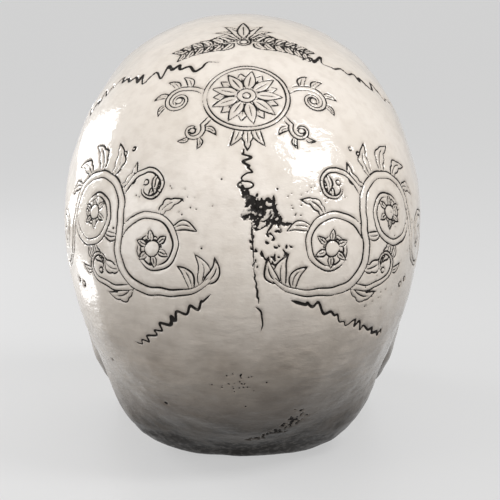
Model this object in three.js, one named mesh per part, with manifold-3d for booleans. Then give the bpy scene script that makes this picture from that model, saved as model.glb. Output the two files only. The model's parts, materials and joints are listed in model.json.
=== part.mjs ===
// A life-size skull cast in resin, with a lower jaw that swings on two pivot screws and is pulled
// shut by two coil springs. Millimetres. The bones are modelled upright in the skull's own frame,
// whose origin is midway between the ear holes: +X to the skull's left, +Y to the back of the head,
// +Z to the crown. The finished group is tipped back so that it stands as it rests on a table: on
// the back of the head and the two corners of the jaw.
import * as THREE from 'three';
import { triTable } from 'three/addons/objects/MarchingCubes.js';
import { mergeVertices } from 'three/addons/utils/BufferGeometryUtils.js';
import Module from 'manifold-3d';

// The head's size: from the tip of the nose bones to the back of the head. Every landmark table
// below, whose name ends in Shares, is in hundredths of it.
const headSpan = 200;

// The casting
const wall = 5.5; // thickness of the hollow brain case
const swingGap = 0.7; // round the jaw's knuckle in its socket
const seatGap = 0.3; // between a piece and what it is seated in
const biteGap = 0.4; // between upper and lower teeth with the jaw shut
const restFlat = 0.8; // how deep the casting is ground flat where it stands on the table
const cutOverrun = 5; // how far a cutting tool runs past the face that it cuts

// Pivot screw, its washer and the bores that it passes
const screwRadius = 1.6;
const screwHeadRadius = 3.4;
const screwHeadHeight = 2.2;
const screwGrip = 9; // length screwed into the skull base
const screwTip = 1.2; // length of the pointed tip
const washerRadius = 3.9;
const washerThickness = 1;
const washerBoreGap = 0.15;
const pivotGap = 0.08; // running clearance of the jaw on the screw
const spotFaceRadius = 4.7; // flat milled on the knuckle for the washer
const spotFaceDepth = 1.8;

// Jaw springs and the screw eyes that they hang on
const springWire = 0.8; // diameter
const springCoilRadius = 2.3; // to the middle of the wire
const springPitch = 1.6;
const hookRadius = 2.2; // to the middle of the wire
const eyeRadius = 2.6; // to the middle of the wire
const eyeWire = 1.1; // diameter
const eyeStemRadius = 0.9;
const eyeStemGrip = 4.5; // length of stem in the bone
const hookGap = 0.3; // between hook and eye

// Blending radii where one form of the casting runs into another
const vaultBlend = 16;
const boneBlend = 8;
const fineBlend = 4;
const edgeBlend = 2;

// Sampling steps of the cast forms, and the facets that each keeps
const craniumCell = 2.5;
const cavityCell = 6;
const mandibleCell = 1.9;
const crownCell = 1.1;
const craniumFacets = 5400;
const cavityFacets = 360;
const mandibleFacets = 1900;
const upperCrownFacets = 1300;
const lowerCrownFacets = 1200;

const wasm = await Module();
wasm.setup();

const { abs, sqrt, max, min, hypot, sin, cos, exp, PI } = Math;
const clamp01 = (t) => min(1, max(0, t));
const mix = (a, b, t) => a + (b - a) * t;
const ramp = (t) => {
  const s = clamp01(t);
  return s * s * (3 - 2 * s);
};
const degrees = (a) => (a * PI) / 180;
const hundredth = headSpan / 100;
const mm = (shares) => (Array.isArray(shares) ? shares.map(mm) : shares * hundredth);

// Signed distance building blocks: negative inside, in millimetres

function join(a, b, blend) {
  const h = max(blend - abs(a - b), 0) / blend;
  return min(a, b) - (h * h * blend) / 4;
}
const carve = (a, b, blend) => -join(-a, b, blend);

// An ellipsoid from its centre and half axes
function egg([centre, half]) {
  const [cx, cy, cz] = centre;
  const [ax, ay, az] = half;
  return (x, y, z) => {
    const u = (x - cx) / ax;
    const v = (y - cy) / ay;
    const w = (z - cz) / az;
    const k0 = sqrt(u * u + v * v + w * w);
    const k1 = sqrt((u * u) / (ax * ax) + (v * v) / (ay * ay) + (w * w) / (az * az));
    return k0 === 0 ? -min(ax, ay, az) : (k0 * (k0 - 1)) / k1;
  };
}

// A round bar between two points [x, y, z, radius]
function bar(a, b) {
  const [ax, ay, az, ra] = a;
  const rb = b[3];
  const dx = b[0] - ax;
  const dy = b[1] - ay;
  const dz = b[2] - az;
  const dd = dx * dx + dy * dy + dz * dz;
  return (x, y, z) => {
    const px = x - ax;
    const py = y - ay;
    const pz = z - az;
    const t = clamp01((px * dx + py * dy + pz * dz) / dd);
    const qx = px - dx * t;
    const qy = py - dy * t;
    const qz = pz - dz * t;
    return sqrt(qx * qx + qy * qy + qz * qz) - mix(ra, rb, t);
  };
}

// A run of bars
function limb(points) {
  const bars = points.slice(1).map((p, i) => bar(points[i], p));
  return (x, y, z) => {
    let d = bars[0](x, y, z);
    for (let i = 1; i < bars.length; i++) d = min(d, bars[i](x, y, z));
    return d;
  };
}

// A round-edged plate over the triangle of three points [x, y, z, radius]
function plate(a, b, c) {
  const [abx, aby, abz] = [b[0] - a[0], b[1] - a[1], b[2] - a[2]];
  const [acx, acy, acz] = [c[0] - a[0], c[1] - a[1], c[2] - a[2]];
  const d00 = abx * abx + aby * aby + abz * abz;
  const d01 = abx * acx + aby * acy + abz * acz;
  const d11 = acx * acx + acy * acy + acz * acz;
  const det = d00 * d11 - d01 * d01;
  const sides = [bar(a, b), bar(b, c), bar(c, a)];
  return (x, y, z) => {
    const px = x - a[0];
    const py = y - a[1];
    const pz = z - a[2];
    const d20 = px * abx + py * aby + pz * abz;
    const d21 = px * acx + py * acy + pz * acz;
    const v = (d11 * d20 - d01 * d21) / det;
    const w = (d00 * d21 - d01 * d20) / det;
    if (v >= 0 && w >= 0 && v + w <= 1) {
      const qx = px - abx * v - acx * w;
      const qy = py - aby * v - acy * w;
      const qz = pz - abz * v - acz * w;
      return sqrt(qx * qx + qy * qy + qz * qz) - (a[3] * (1 - v - w) + b[3] * v + c[3] * w);
    }
    return min(sides[0](x, y, z), sides[1](x, y, z), sides[2](x, y, z));
  };
}

// A skin of plates, from corner points and the corners of each triangle
function web(points, triangles) {
  const plates = triangles.map(([a, b, c]) => plate(points[a], points[b], points[c]));
  return (x, y, z) => {
    let d = plates[0](x, y, z);
    for (let i = 1; i < plates.length; i++) d = min(d, plates[i](x, y, z));
    return d;
  };
}

// Reads a table of [place, value] rows, smooth between its rows
function readTable(rows, at) {
  if (at <= rows[0][0]) return rows[0][1];
  for (let i = 1; i < rows.length; i++) {
    if (at <= rows[i][0]) {
      const t = (at - rows[i - 1][0]) / (rows[i][0] - rows[i - 1][0]);
      return mix(rows[i - 1][1], rows[i][1], ramp(t) * 0.5 + t * 0.5);
    }
  }
  return rows[rows.length - 1][1];
}

// The brain case: an ellipsoid whose breadth follows a table from the forehead to the back, with
// its floor rising to the front in two slopes, a bulge at each temple and two low on the back
const vaultShares = [[0, 1, 20], [33.5, 44.8, 38.5]];
const vaultBreadthShares = [
  [-45, 1.14], [-34, 1.11], [-25, 1], [-15, 0.95], [-5, 0.965], [5, 0.985],
  [12.5, 1], [25, 1.03], [35, 1.05], [45, 1.04],
];
const vaultSpreadShares = [
  [-20, 0.98], [0, 0.955], [12, 0.97], [25, 1.02], [35, 1.07], [45, 1.12], [58, 1.16],
];
const rearBulgeShares = [[10, 22.5, -0.7], [12.6, 12, 9.8]];
const floorShares = [[20, -17.5], [-12.5, -6], [-40, 17]];
const templeShares = [[18, -8, 7], [8.5, 14, 12]];
const templeHollowShares = [[34, -20, 6], [10.5, 14, 17]];

const vaultEgg = egg(mm(vaultShares));
const vaultBreadth = vaultBreadthShares.map(([at, share]) => [at * hundredth, share]);
const vaultSpread = vaultSpreadShares.map(([at, share]) => [at * hundredth, share]);
const temple = egg(mm(templeShares));
const templeHollow = egg(mm(templeHollowShares));
const rearBulge = egg(mm(rearBulgeShares));

// Distance below the line between two points [y, z]
function slope([ay, az], [by, bz]) {
  const length = hypot(by - ay, bz - az);
  const ny = -(bz - az) / length;
  const nz = (by - ay) / length;
  return (y, z) => (y - ay) * ny + (z - az) * nz;
}
const floorPoints = mm(floorShares);
const rearFloor = slope(floorPoints[0], floorPoints[1]);
const frontFloor = slope(floorPoints[1], floorPoints[2]);

function brainCase(x, y, z) {
  const breadth = readTable(vaultBreadth, y) * readTable(vaultSpread, z);
  const shell = vaultEgg(x / breadth, y, z);
  const floored = carve(carve(shell, -rearFloor(y, z), boneBlend), -frontFloor(y, z), boneBlend);
  const full = join(join(floored, rearBulge(x, y, z), vaultBlend), temple(x, y, z), vaultBlend);
  return carve(full, templeHollow(x, y, z), vaultBlend);
}

// Eye socket: a four-cornered funnel that runs back and inwards
const orbitMouthShares = [16.5, -42.5, 8.5];
const orbitApexShares = [6, -21, 8.5];
const orbitHalfShares = [9.9, 8.5, 2.5]; // half breadth and height of the mouth, half of the apex
const orbitSquareness = 2.7;
const orbitDroop = degrees(9);
const orbitMouth = mm(orbitMouthShares);
const orbitApex = mm(orbitApexShares);
const [orbitHalfBreadth, orbitHalfHeight, orbitApexHalf] = mm(orbitHalfShares);
const orbitLength = hypot(orbitApex[0] - orbitMouth[0], orbitApex[1] - orbitMouth[1]);
const orbitAhead = (orbitApex[1] - orbitMouth[1]) / orbitLength;
const orbitInward = (orbitMouth[0] - orbitApex[0]) / orbitLength;

function eyeSocket(x, y, z) {
  const px = x - orbitMouth[0];
  const py = y - orbitMouth[1];
  const pz = z - orbitMouth[2];
  const depth = py * orbitAhead - px * orbitInward;
  const side = px * orbitAhead + py * orbitInward;
  const u = side * cos(orbitDroop) - pz * sin(orbitDroop);
  const v = side * sin(orbitDroop) + pz * cos(orbitDroop);
  const closing = sqrt(max(0, 1 - clamp01(depth / orbitLength) ** 2));
  const a = mix(orbitApexHalf, orbitHalfBreadth, closing);
  const b = mix(orbitApexHalf, orbitHalfHeight, closing);
  const n = orbitSquareness;
  const q = (abs(u / a) ** n + abs(v / b) ** n) ** (1 / n);
  return max((q - 1) * min(a, b), depth - orbitLength);
}

// Nose opening: a pear in front view, cut straight back, with a thin wall down the middle inside
const noseLobeShares = [2.6, -7.2, 3.5, 4.4]; // centre x and z, half breadth, half height
const noseStemShares = [[0, 0, -5.5, 3.4], [0, 0, 0, 1.9]];
const noseDepthShares = { back: -26, wallFront: -42.5, wallHalf: 0.65 };
const [lobeOut, lobeUp, lobeHalf, lobeTall] = mm(noseLobeShares);
const noseStem = bar(...mm(noseStemShares));
const noseBack = noseDepthShares.back * hundredth;
const noseWallFront = noseDepthShares.wallFront * hundredth;
const noseWallHalf = noseDepthShares.wallHalf * hundredth;

function noseOpening(x, y, z) {
  const k = hypot((x - lobeOut) / lobeHalf, (z - lobeUp) / lobeTall);
  const pear = join((k - 1) * min(lobeHalf, lobeTall), noseStem(x, 0, z), fineBlend);
  const cut = max(pear, y - noseBack);
  return max(cut, min(noseWallHalf - x, y - noseWallFront));
}

// The curve of a tooth row, seen from below: half a superellipse with straight legs to the back
const archShares = { halfBreadth: 13.9, legStart: -29, front: -45.5, back: -21.8, lowerInset: 1 };
const archSquareness = 2.2;
const archHalf = archShares.halfBreadth * hundredth;
const archLegStart = archShares.legStart * hundredth;
const archFront = archShares.front * hundredth;
const archBack = archShares.back * hundredth;
const lowerInset = archShares.lowerInset * hundredth;

// Signed distance from that curve, grown outwards by `grow`: positive outside it
function archDistance(px, y, grow) {
  const x = abs(px);
  const a = archHalf + grow;
  if (y >= archLegStart) return x - a;
  const b = archLegStart - archFront + grow;
  const n = archSquareness;
  const u = x / a;
  const v = (archLegStart - y) / b;
  const q = (u ** n + v ** n) ** (1 / n);
  const gx = (u ** (n - 1) / a) * q ** (1 - n);
  const gy = (v ** (n - 1) / b) * q ** (1 - n);
  return (q - 1) / hypot(gx, gy);
}

// Points along the left half of the curve, from the front to the back
function archPoint(t, grow) {
  const a = archHalf + grow;
  const b = archLegStart - archFront + grow;
  const power = 2 / archSquareness;
  const turn = (t * PI) / 2;
  return [a * sin(turn) ** power, archLegStart - b * cos(turn) ** power];
}

// Levels of gums and bite
const levelShares = { upperGum: -23.2, bite: -27.3, lowerGum: -31, upperRoot: -10 };
const upperGum = levelShares.upperGum * hundredth;
const lowerGum = levelShares.lowerGum * hundredth;
const biteLevel = levelShares.bite * hundredth;

// The jaw's hinge
const hingeShares = { out: 25, back: -6, up: -2 };
const hingeOut = hingeShares.out * hundredth;
const hingeBack = hingeShares.back * hundredth;
const hingeUp = hingeShares.up * hundredth;
const knuckleShares = { halfLength: 4.5, radius: 2.6 };
const knuckleHalf = knuckleShares.halfLength * hundredth;
const knuckleRadius = knuckleShares.radius * hundredth;
const jawOpening = degrees(18);

// The room that the knuckle and the neck under it sweep through as the jaw opens
function jawSweep(x, y, z) {
  const u = y - hingeBack;
  const v = z - hingeUp;
  const radius = knuckleRadius + swingGap;
  let d = hypot(u, v) - radius;
  for (const turn of [0, jawOpening / 2, jawOpening]) {
    const side = u * cos(turn) + v * sin(turn);
    const above = v * cos(turn) - u * sin(turn);
    d = min(d, max(abs(side) - radius, above));
  }
  return max(d, abs(x - hingeOut) - knuckleHalf - swingGap);
}

// Forms of the face
const browShares = [
  [2, -44.6, 17, 3.2], [10, -44.8, 19.4, 2.8], [18, -42, 19.4, 2.8], [25, -36.5, 15.8, 2.6],
];
const cheekPostShares = [[25.6, -36, 16.5, 2.5], [26.4, -34.6, 10, 2.3], [26.2, -35, 2.5, 3]];
const lowerRimShares = [
  [6.6, -45, 2, 2], [12.5, -44, -1.5, 2.6], [19.5, -41, -2.2, 3.3], [25.5, -36, 0, 3.6],
];
const cheekShares = [[23.5, -36, -4.5, 4.3], [28.3, -31, -3, 3.2]];
const buttressShares = [[23, -34, -7, 4], [18, -32, -16, 3.8]];
const midFaceShares = [[0, -41, 12, 5.2], [0, -27.5, 6, 6]];
const sideWallShares = [[25.5, -35.5, 15, 1.6], [25.5, -35, 1, 1.6], [17, -21, 14, 2], [17, -21, 0, 2]];
const floorEggShares = [[13, -33, -6], [11, 11.5, 9.5]];
const upperJawShares = [[10.5, -35, -13], [10.5, 10.2, 10.5]];
const noseSideShares = [[4.4, -45, 12, 2.1], [6.2, -46, 2, 2.1], [8.6, -44.5, -7, 2.5]];
const noseBridgeShares = [[0, -44.6, 14, 3], [0, -47.6, 8, 2.6], [0, -50.6, 2.4, 2.1]];
const noseFlankShares = [[0, -46.5, 12, 2], [0, -50.3, 2.6, 1.9], [5.6, -46.2, 2, 1.9]];
const noseSillShares = [[0, -45, -13.8, 2.5], [5.5, -44.5, -13.4, 2.5]];
const noseSpineShares = [[0, -46, -12.6, 1.5], [0, -49.5, -12.2, 0.7]];
const canineHollowShares = [[16.5, -48.6, -7], [6, 7, 6]];
const palateShares = [[0, -30, -27], [9.6, 15, 9]];
const wingShares = [[7, -21, -7, 1.3], [8.5, -20.5, -20, 1.1], [9, -16, -9, 1.2], [10, -16.5, -19, 0.9]];

// Forms of the base and the sides
const baseEggShares = [[0, -12, -4], [17, 13, 7]];
const baseBarShares = [[0, -15, -7, 6], [0, -1.5, -11.8, 4.6]];
const bossShares = [[13, -6, -2, 4], [19.5, -6, -2, 3.6]];
const neckJointShares = [[7.6, 1.5, -13.6], [3, 5.5, 3.2]];
const mastoidShares = [[24.4, 7.5, 2, 6], [24.6, 6.4, -6, 5], [24.4, 5.4, -12.5, 3.4]];
const eminenceShares = [[21, -13.5, -0.8, 2.4], [30, -12.4, 0.8, 2.2]];
const earPlateShares = [[25, 1, -2], [6.5, 3, 4.6]];
const earHoleShares = [[37, 0, -0.4, 2], [25, 0, -0.4, 2]];
const archUpperShares = [
  [28.4, -30.5, -1.5, 2.1], [32, -22.5, -0.5, 1.5], [33, -14, 1.2, 1.5], [31.8, -6, 3.2, 1.6],
  [28.6, 2, 4.6, 2],
];
const archLowerShares = [
  [28.4, -30.5, -4.5, 1.7], [32, -22.5, -3, 1.4], [33, -14.5, -1.2, 1.3], [32, -11, 1.2, 1.3],
];
const neckOpeningShares = { back: 8.5, halfBreadth: 7.4, halfLength: 8.8, top: -2 };
const nuchalShares = [[0, 36, -3.4, 1.6], [8, 33.6, -4.4, 1.4], [16, 27.6, -6.3, 1.2]];

const brow = limb(mm(browShares));
const cheekPost = limb(mm(cheekPostShares));
const lowerRim = limb(mm(lowerRimShares));
const cheek = limb(mm(cheekShares));
const buttress = limb(mm(buttressShares));
const midFace = limb(mm(midFaceShares));
const sideWall = web(mm(sideWallShares), [[0, 1, 2], [1, 3, 2]]);
const floorEgg = egg(mm(floorEggShares));
const upperJaw = egg(mm(upperJawShares));
const noseSide = limb(mm(noseSideShares));
const noseBridge = limb(mm(noseBridgeShares));
const noseFlank = web(mm(noseFlankShares), [[0, 1, 2]]);
const noseSill = limb(mm(noseSillShares));
const noseSpine = limb(mm(noseSpineShares));
const canineHollow = egg(mm(canineHollowShares));
const palate = egg(mm(palateShares));
const wings = web(mm(wingShares), [[0, 1, 2], [1, 3, 2]]);
const baseEgg = egg(mm(baseEggShares));
const baseBar = limb(mm(baseBarShares));
const boss = limb(mm(bossShares));
const neckJoint = egg(mm(neckJointShares));
const mastoid = limb(mm(mastoidShares));
const eminence = limb(mm(eminenceShares));
const earPlate = egg(mm(earPlateShares));
const earHole = limb(mm(earHoleShares));
const archUpper = limb(mm(archUpperShares));
const archLower = limb(mm(archLowerShares));
const nuchalLine = limb(mm(nuchalShares));

// The bone that holds the upper teeth follows the tooth row
const gumShares = { upperHalf: 3.2, round: 1.3 };
const upperGumHalf = gumShares.upperHalf * hundredth;
const gumRound = gumShares.round * hundredth;
const upperRoot = levelShares.upperRoot * hundredth;

function upperGums(x, y, z) {
  const flat = max(archDistance(x, y, upperGumHalf), y - archBack);
  const u = flat + gumRound;
  const v = abs(z - (upperGum + upperRoot) / 2) - (upperRoot - upperGum) / 2 + gumRound;
  return min(max(u, v), 0) + hypot(max(u, 0), max(v, 0)) - gumRound;
}

function craniumForm(px, y, z) {
  const x = abs(px);
  let d = brainCase(x, y, z);
  d = join(d, nuchalLine(x, y, z), boneBlend);
  let base = join(baseEgg(x, y, z), baseBar(x, y, z), boneBlend);
  base = join(base, join(boss(x, y, z), neckJoint(x, y, z), fineBlend), fineBlend);
  base = join(base, join(mastoid(x, y, z), earPlate(x, y, z), fineBlend), fineBlend);
  base = join(base, eminence(x, y, z), fineBlend);
  d = join(d, base, boneBlend);
  let face = join(brow(x, y, z), join(noseBridge(x, y, z), noseFlank(x, y, z), fineBlend), fineBlend);
  face = join(face, join(cheekPost(x, y, z), lowerRim(x, y, z), fineBlend), fineBlend);
  face = join(face, join(cheek(x, y, z), buttress(x, y, z), boneBlend), fineBlend);
  face = join(face, join(noseSide(x, y, z), midFace(x, y, z), fineBlend), fineBlend);
  let jaw = join(upperJaw(x, y, z), upperGums(x, y, z), boneBlend);
  jaw = join(jaw, floorEgg(x, y, z), boneBlend);
  jaw = join(jaw, noseSill(x, y, z), fineBlend);
  jaw = carve(jaw, canineHollow(x, y, z), boneBlend);
  face = join(join(face, jaw, boneBlend), sideWall(x, y, z), fineBlend);
  d = join(d, face, boneBlend);
  d = join(d, wings(x, y, z), fineBlend);
  d = join(d, join(archUpper(x, y, z), archLower(x, y, z), fineBlend), fineBlend);
  d = carve(d, eyeSocket(x, y, z), edgeBlend);
  d = carve(d, noseOpening(x, y, z), edgeBlend);
  d = join(d, noseSpine(x, y, z), edgeBlend);
  d = carve(d, palate(x, y, z), edgeBlend);
  d = carve(d, jawSweep(x, y, z), edgeBlend);
  return carve(d, earHole(x, y, z), edgeBlend);
}

// The hollow inside: the brain case less the wall, kept clear of eye sockets, nose and hinge
function cavityForm(px, y, z) {
  const x = abs(px);
  let d = brainCase(x, y, z) + wall;
  d = carve(d, eyeSocket(x, y, z) - wall, fineBlend);
  return carve(d, jawSweep(x, y, z) - wall, fineBlend);
}

// Forms of the lower jaw
const jawBaseShares = [
  [0, -44.5, -48, 3], [6.5, -43.5, -48.4, 3], [12.5, -38.5, -46, 2.8], [18, -29, -42.2, 2.8],
  [22, -19, -37.5, 2.5], [24, -11, -33.2, 2.2], [24.5, -7.8, -30.2, 2],
];
const jawCrestShares = [
  [0, -2.2, 2.8], [0.35, -2.2, 2.8], [0.62, -2.2, 2.9], [0.85, -2.3, 3], [1, -2.4, 3.1],
];
const jawHeelShares = [[13.4, -24, -33.3, 3.1], [17.3, -19.5, -31, 2.7]];
const ramusShares = [
  [25, -6, -6, 2.2], [25.2, -5, -18, 1.9], [24.2, -13.5, -12.5, 1.6], [23.5, -20.8, -6, 1.2],
  [23, -20.8, -16, 1.9], [21, -21.5, -27, 2.5],
];
const chinShares = [[0, -45.4, -46.5], [7, 3.6, 4]];
const chinCornerShares = [[6.2, -44, -48.2], [3.6, 3.4, 2.6]];
const jawCrest = jawCrestShares.map(([along, down, radius]) => [
  ...archPoint(along, -lowerInset), lowerGum + down * hundredth, radius * hundredth,
]);
const jawWeb = web([...mm(jawBaseShares), ...jawCrest, ...mm([...jawHeelShares, ...ramusShares])], [
  [0, 1, 8], [0, 8, 7], [1, 2, 9], [1, 9, 8], [2, 10, 9], [2, 3, 11], [2, 11, 10], [3, 4, 12],
  [3, 12, 11], [4, 13, 12], [4, 19, 13], [4, 5, 19], [5, 6, 19], [14, 15, 16], [15, 6, 16],
  [16, 17, 18], [16, 18, 6], [18, 19, 6],
]);
const chin = egg(mm(chinShares));
const chinCorner = egg(mm(chinCornerShares));
const knuckle = bar(
  [hingeOut - knuckleHalf + knuckleRadius, hingeBack, hingeUp, knuckleRadius],
  [hingeOut + knuckleHalf - knuckleRadius, hingeBack, hingeUp, knuckleRadius],
);

function mandibleForm(px, y, z) {
  const x = abs(px);
  const d = join(jawWeb(x, y, z), join(chin(x, y, z), chinCorner(x, y, z), fineBlend), fineBlend);
  return join(d, knuckle(x, y, z), edgeBlend);
}

// Tooth crowns, from the middle of the row to the back. Each row of a table gives the breadth along
// the row, how far the crown passes the bite level, and its outer and inner faces at neck and edge.
const upperToothShares = [
  [4.25, 0.9, 1.5, -1.8, 1.3, 0.3], [3.3, 0.7, 1.4, -1.6, 1.2, 0.3], [3.8, 0.9, 1.7, -2.1, 1.2, 0],
  [3.5, 0, 2, -2.2, 1.6, -1.7], [3.4, 0, 2, -2.2, 1.6, -1.7], [5.1, 0, 2.4, -2.6, 2.1, -2.3],
  [4.9, 0, 2.3, -2.6, 2, -2.3],
];
const lowerToothShares = [
  [2.75, 0, 1.4, -1.6, 0.4, -0.4], [3, 0, 1.4, -1.6, 0.4, -0.4], [3.4, 0.1, 1.8, -2, 0.6, -0.6],
  [3.5, 0, 1.9, -2, 1.4, -1.6], [3.6, 0, 2, -2, 1.5, -1.7], [5.6, 0, 2.5, -2.5, 2.2, -2.2],
  [5.3, 0, 2.4, -2.4, 2.1, -2.1],
];
const crownWaistShare = 0.94; // breadth of a crown's neck, as a share of its widest
const crownSinkShare = 0.25; // how far a crown's form runs into the gum, as a share of its height
const crownSquareness = 4;
const cuspShare = 0.13; // depth of the groove along a grinding tooth, as a share of its height
const grindingFrom = 3; // first tooth of the row that has cusps
const crownOverlap = 0.4; // how far neighbours run into each other, which makes them one piece
const crownBlend = 0.8;

// Where each crown of one half row stands: its middle and the direction outwards
function toothPlaces(shares, grow) {
  const steps = 400;
  const walk = [];
  let travelled = 0;
  let last = archPoint(0, grow);
  for (let i = 1; i <= steps; i++) {
    const next = archPoint(i / steps, grow);
    travelled += hypot(next[0] - last[0], next[1] - last[1]);
    walk.push([travelled, next]);
    last = next;
  }
  const at = (s) => {
    if (s >= travelled) return [archHalf + grow, archLegStart + s - travelled];
    return walk.find(([length]) => length >= s)[1];
  };
  let edge = 0;
  return shares.map((row) => {
    const [breadth, past, outNeck, inNeck, outEdge, inEdge] = mm(row);
    const middle = at(edge + breadth / 2);
    const before = at(edge + breadth / 4);
    const after = at(edge + (breadth * 3) / 4);
    edge += breadth;
    const length = hypot(after[0] - before[0], after[1] - before[1]);
    const along = [(after[0] - before[0]) / length, (after[1] - before[1]) / length];
    const out = [-along[1] * -1, -along[0]];
    return { breadth, past, outNeck, inNeck, outEdge, inEdge, middle, along, out };
  });
}

// Distance to one crown. `level` is measured from the gum towards the bite.
function crownForm(tooth, index, height, x, y, level) {
  const dx = x - tooth.middle[0];
  const dy = y - tooth.middle[1];
  const s = dx * tooth.along[0] + dy * tooth.along[1];
  const o = dx * tooth.out[0] + dy * tooth.out[1];
  const full = height + tooth.past;
  const t = level / full;
  const c = clamp01(t);
  const waist = mix(crownWaistShare, 1, ramp(c * 1.6));
  const half = (tooth.breadth / 2) * waist + crownOverlap;
  const outer = mix(tooth.outNeck, tooth.outEdge, c);
  const inner = mix(tooth.inNeck, tooth.inEdge, c);
  const across = (outer - inner) / 2;
  const u = abs(s / half);
  const v = abs((o - (outer + inner) / 2) / across);
  const groove = index >= grindingFrom ? cuspShare * (exp(-v * v * 6) + 0.5 * exp(-u * u * 12)) : 0;
  const w = t > 0 ? c / (1 - groove) : -t / crownSinkShare;
  const n = crownSquareness;
  const q = (u ** n + v ** n + (max(w, t) > 0 ? max(w, t / (1 - groove)) ** (n * 1.6) : 0)) ** (1 / n);
  return (q - 1) * min(half, across);
}

function crownRow(places, height) {
  return (px, y, level) => {
    const x = abs(px);
    let d = 1e3;
    for (let i = 0; i < places.length; i++) {
      const { middle } = places[i];
      if (abs(x - middle[0]) > crownReach || abs(y - middle[1]) > crownReach) continue;
      d = join(d, crownForm(places[i], i, height, x, y, level), crownBlend);
    }
    return d;
  };
}
const crownReachShare = 6;
const crownReach = crownReachShare * hundredth;

const upperPlaces = toothPlaces(upperToothShares, 0);
const lowerPlaces = toothPlaces(lowerToothShares, -lowerInset);
const upperHeight = upperGum - biteLevel - biteGap / 2 - seatGap;
const lowerHeight = biteLevel - biteGap / 2 - lowerGum - seatGap;
const upperRow = crownRow(upperPlaces, upperHeight);
const lowerRow = crownRow(lowerPlaces, lowerHeight);

// Turning a form into facets

// Moves the sides of a room outwards until the form lies clear of all of them
function roomFor(form, low, high, cell) {
  const from = [...low];
  const to = [...high];
  const touches = (axis, level) => {
    const [a, b] = [0, 1, 2].filter((k) => k !== axis);
    const at = [level, level, level];
    for (at[a] = from[a]; at[a] <= to[a] + cell; at[a] += cell) {
      for (at[b] = from[b]; at[b] <= to[b] + cell; at[b] += cell) {
        if (form(...at) < cell) return true;
      }
    }
    return false;
  };
  for (let grown = true; grown;) {
    grown = false;
    for (const axis of [0, 1, 2]) {
      if (touches(axis, to[axis])) {
        to[axis] += cell;
        if (axis === 0) from[axis] = -to[axis];
        grown = true;
      }
      if (axis > 0 && touches(axis, from[axis])) {
        from[axis] -= cell;
        grown = true;
      }
    }
  }
  return [from, to];
}

// Samples a form on a grid that mirrors about x = 0 and joins its crossings into one closed skin
function skin(form, low, high, cell) {
  const halfX = Math.ceil(high[0] / cell);
  const start = [-halfX * cell, low[1], low[2]];
  const nx = 2 * halfX + 1;
  const ny = Math.ceil((high[1] - low[1]) / cell) + 1;
  const nz = Math.ceil((high[2] - low[2]) / cell) + 1;
  const at = (i, j, k) => i + nx * (j + ny * k);
  const value = new Float32Array(nx * ny * nz).fill(NaN);
  const sample = (i, j, k) => {
    const q = at(i, j, k);
    if (Number.isNaN(value[q])) {
      const v = form(start[0] + i * cell, start[1] + j * cell, start[2] + k * cell);
      value[q] = abs(v) < 1e-6 ? 1e-6 : v;
      value[at(nx - 1 - i, j, k)] = value[q];
    }
    return value[q];
  };
  const corners = [
    [0, 0, 0], [1, 0, 0], [1, 1, 0], [0, 1, 0], [0, 0, 1], [1, 0, 1], [1, 1, 1], [0, 1, 1],
  ];
  const edges = [
    [0, 1], [1, 2], [2, 3], [3, 0], [4, 5], [5, 6], [6, 7], [7, 4], [0, 4], [1, 5], [2, 6], [3, 7],
  ];
  const block = 4;
  const reach = block * cell * 3;
  const points = [];
  const faces = [];
  const known = new Map();
  const crossing = (i, j, k, e) => {
    const [a, b] = edges[e];
    const A = corners[a];
    const B = corners[b];
    const qa = at(i + A[0], j + A[1], k + A[2]);
    const qb = at(i + B[0], j + B[1], k + B[2]);
    const step = abs(qa - qb);
    const key = min(qa, qb) * 4 + (step === 1 ? 0 : step === nx ? 1 : 2);
    let found = known.get(key);
    if (found === undefined) {
      const t = value[qa] / (value[qa] - value[qb]);
      found = points.length / 3;
      points.push(
        start[0] + (i + mix(A[0], B[0], t)) * cell,
        start[1] + (j + mix(A[1], B[1], t)) * cell,
        start[2] + (k + mix(A[2], B[2], t)) * cell,
      );
      known.set(key, found);
    }
    return found;
  };
  for (let bk = 0; bk < nz - 1; bk += block) {
    for (let bj = 0; bj < ny - 1; bj += block) {
      for (let bi = 0; bi < nx - 1; bi += block) {
        const centre = form(
          start[0] + (bi + block / 2) * cell,
          start[1] + (bj + block / 2) * cell,
          start[2] + (bk + block / 2) * cell,
        );
        if (abs(centre) > reach) continue;
        for (let k = bk; k < min(bk + block, nz - 1); k++) {
          for (let j = bj; j < min(bj + block, ny - 1); j++) {
            for (let i = bi; i < min(bi + block, nx - 1); i++) {
              let index = 0;
              for (let c = 0; c < 8; c++) {
                const [ci, cj, ck] = corners[c];
                if (sample(i + ci, j + cj, k + ck) < 0) index |= 1 << c;
              }
              if (index === 0 || index === 255) continue;
              for (let t = index * 16; triTable[t] >= 0; t += 3) {
                faces.push([0, 1, 2].map((s) => crossing(i, j, k, triTable[t + s])));
              }
            }
          }
        }
      }
    }
  }
  return { points: Float64Array.from(points), faces };
}

// Evens out the grid's steps and the creases between plates, without shrinking the form
const smoothIn = 0.5;
const smoothOut = -0.52;
function smooth({ points, faces }, rounds) {
  const n = points.length / 3;
  const sum = new Float64Array(n * 3);
  const weight = new Float64Array(n);
  for (let round = 0; round < rounds * 2; round++) {
    const pull = round % 2 ? smoothOut : smoothIn;
    sum.fill(0);
    weight.fill(0);
    for (const [a, b, c] of faces) {
      for (const [u, v] of [[a, b], [b, c], [c, a]]) {
        for (let k = 0; k < 3; k++) sum[u * 3 + k] += points[v * 3 + k];
        weight[u]++;
      }
    }
    for (let v = 0; v < n; v++) {
      if (!weight[v]) continue;
      for (let k = 0; k < 3; k++) {
        points[v * 3 + k] += pull * (sum[v * 3 + k] / weight[v] - points[v * 3 + k]);
      }
    }
  }
  return { points, faces };
}

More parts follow.
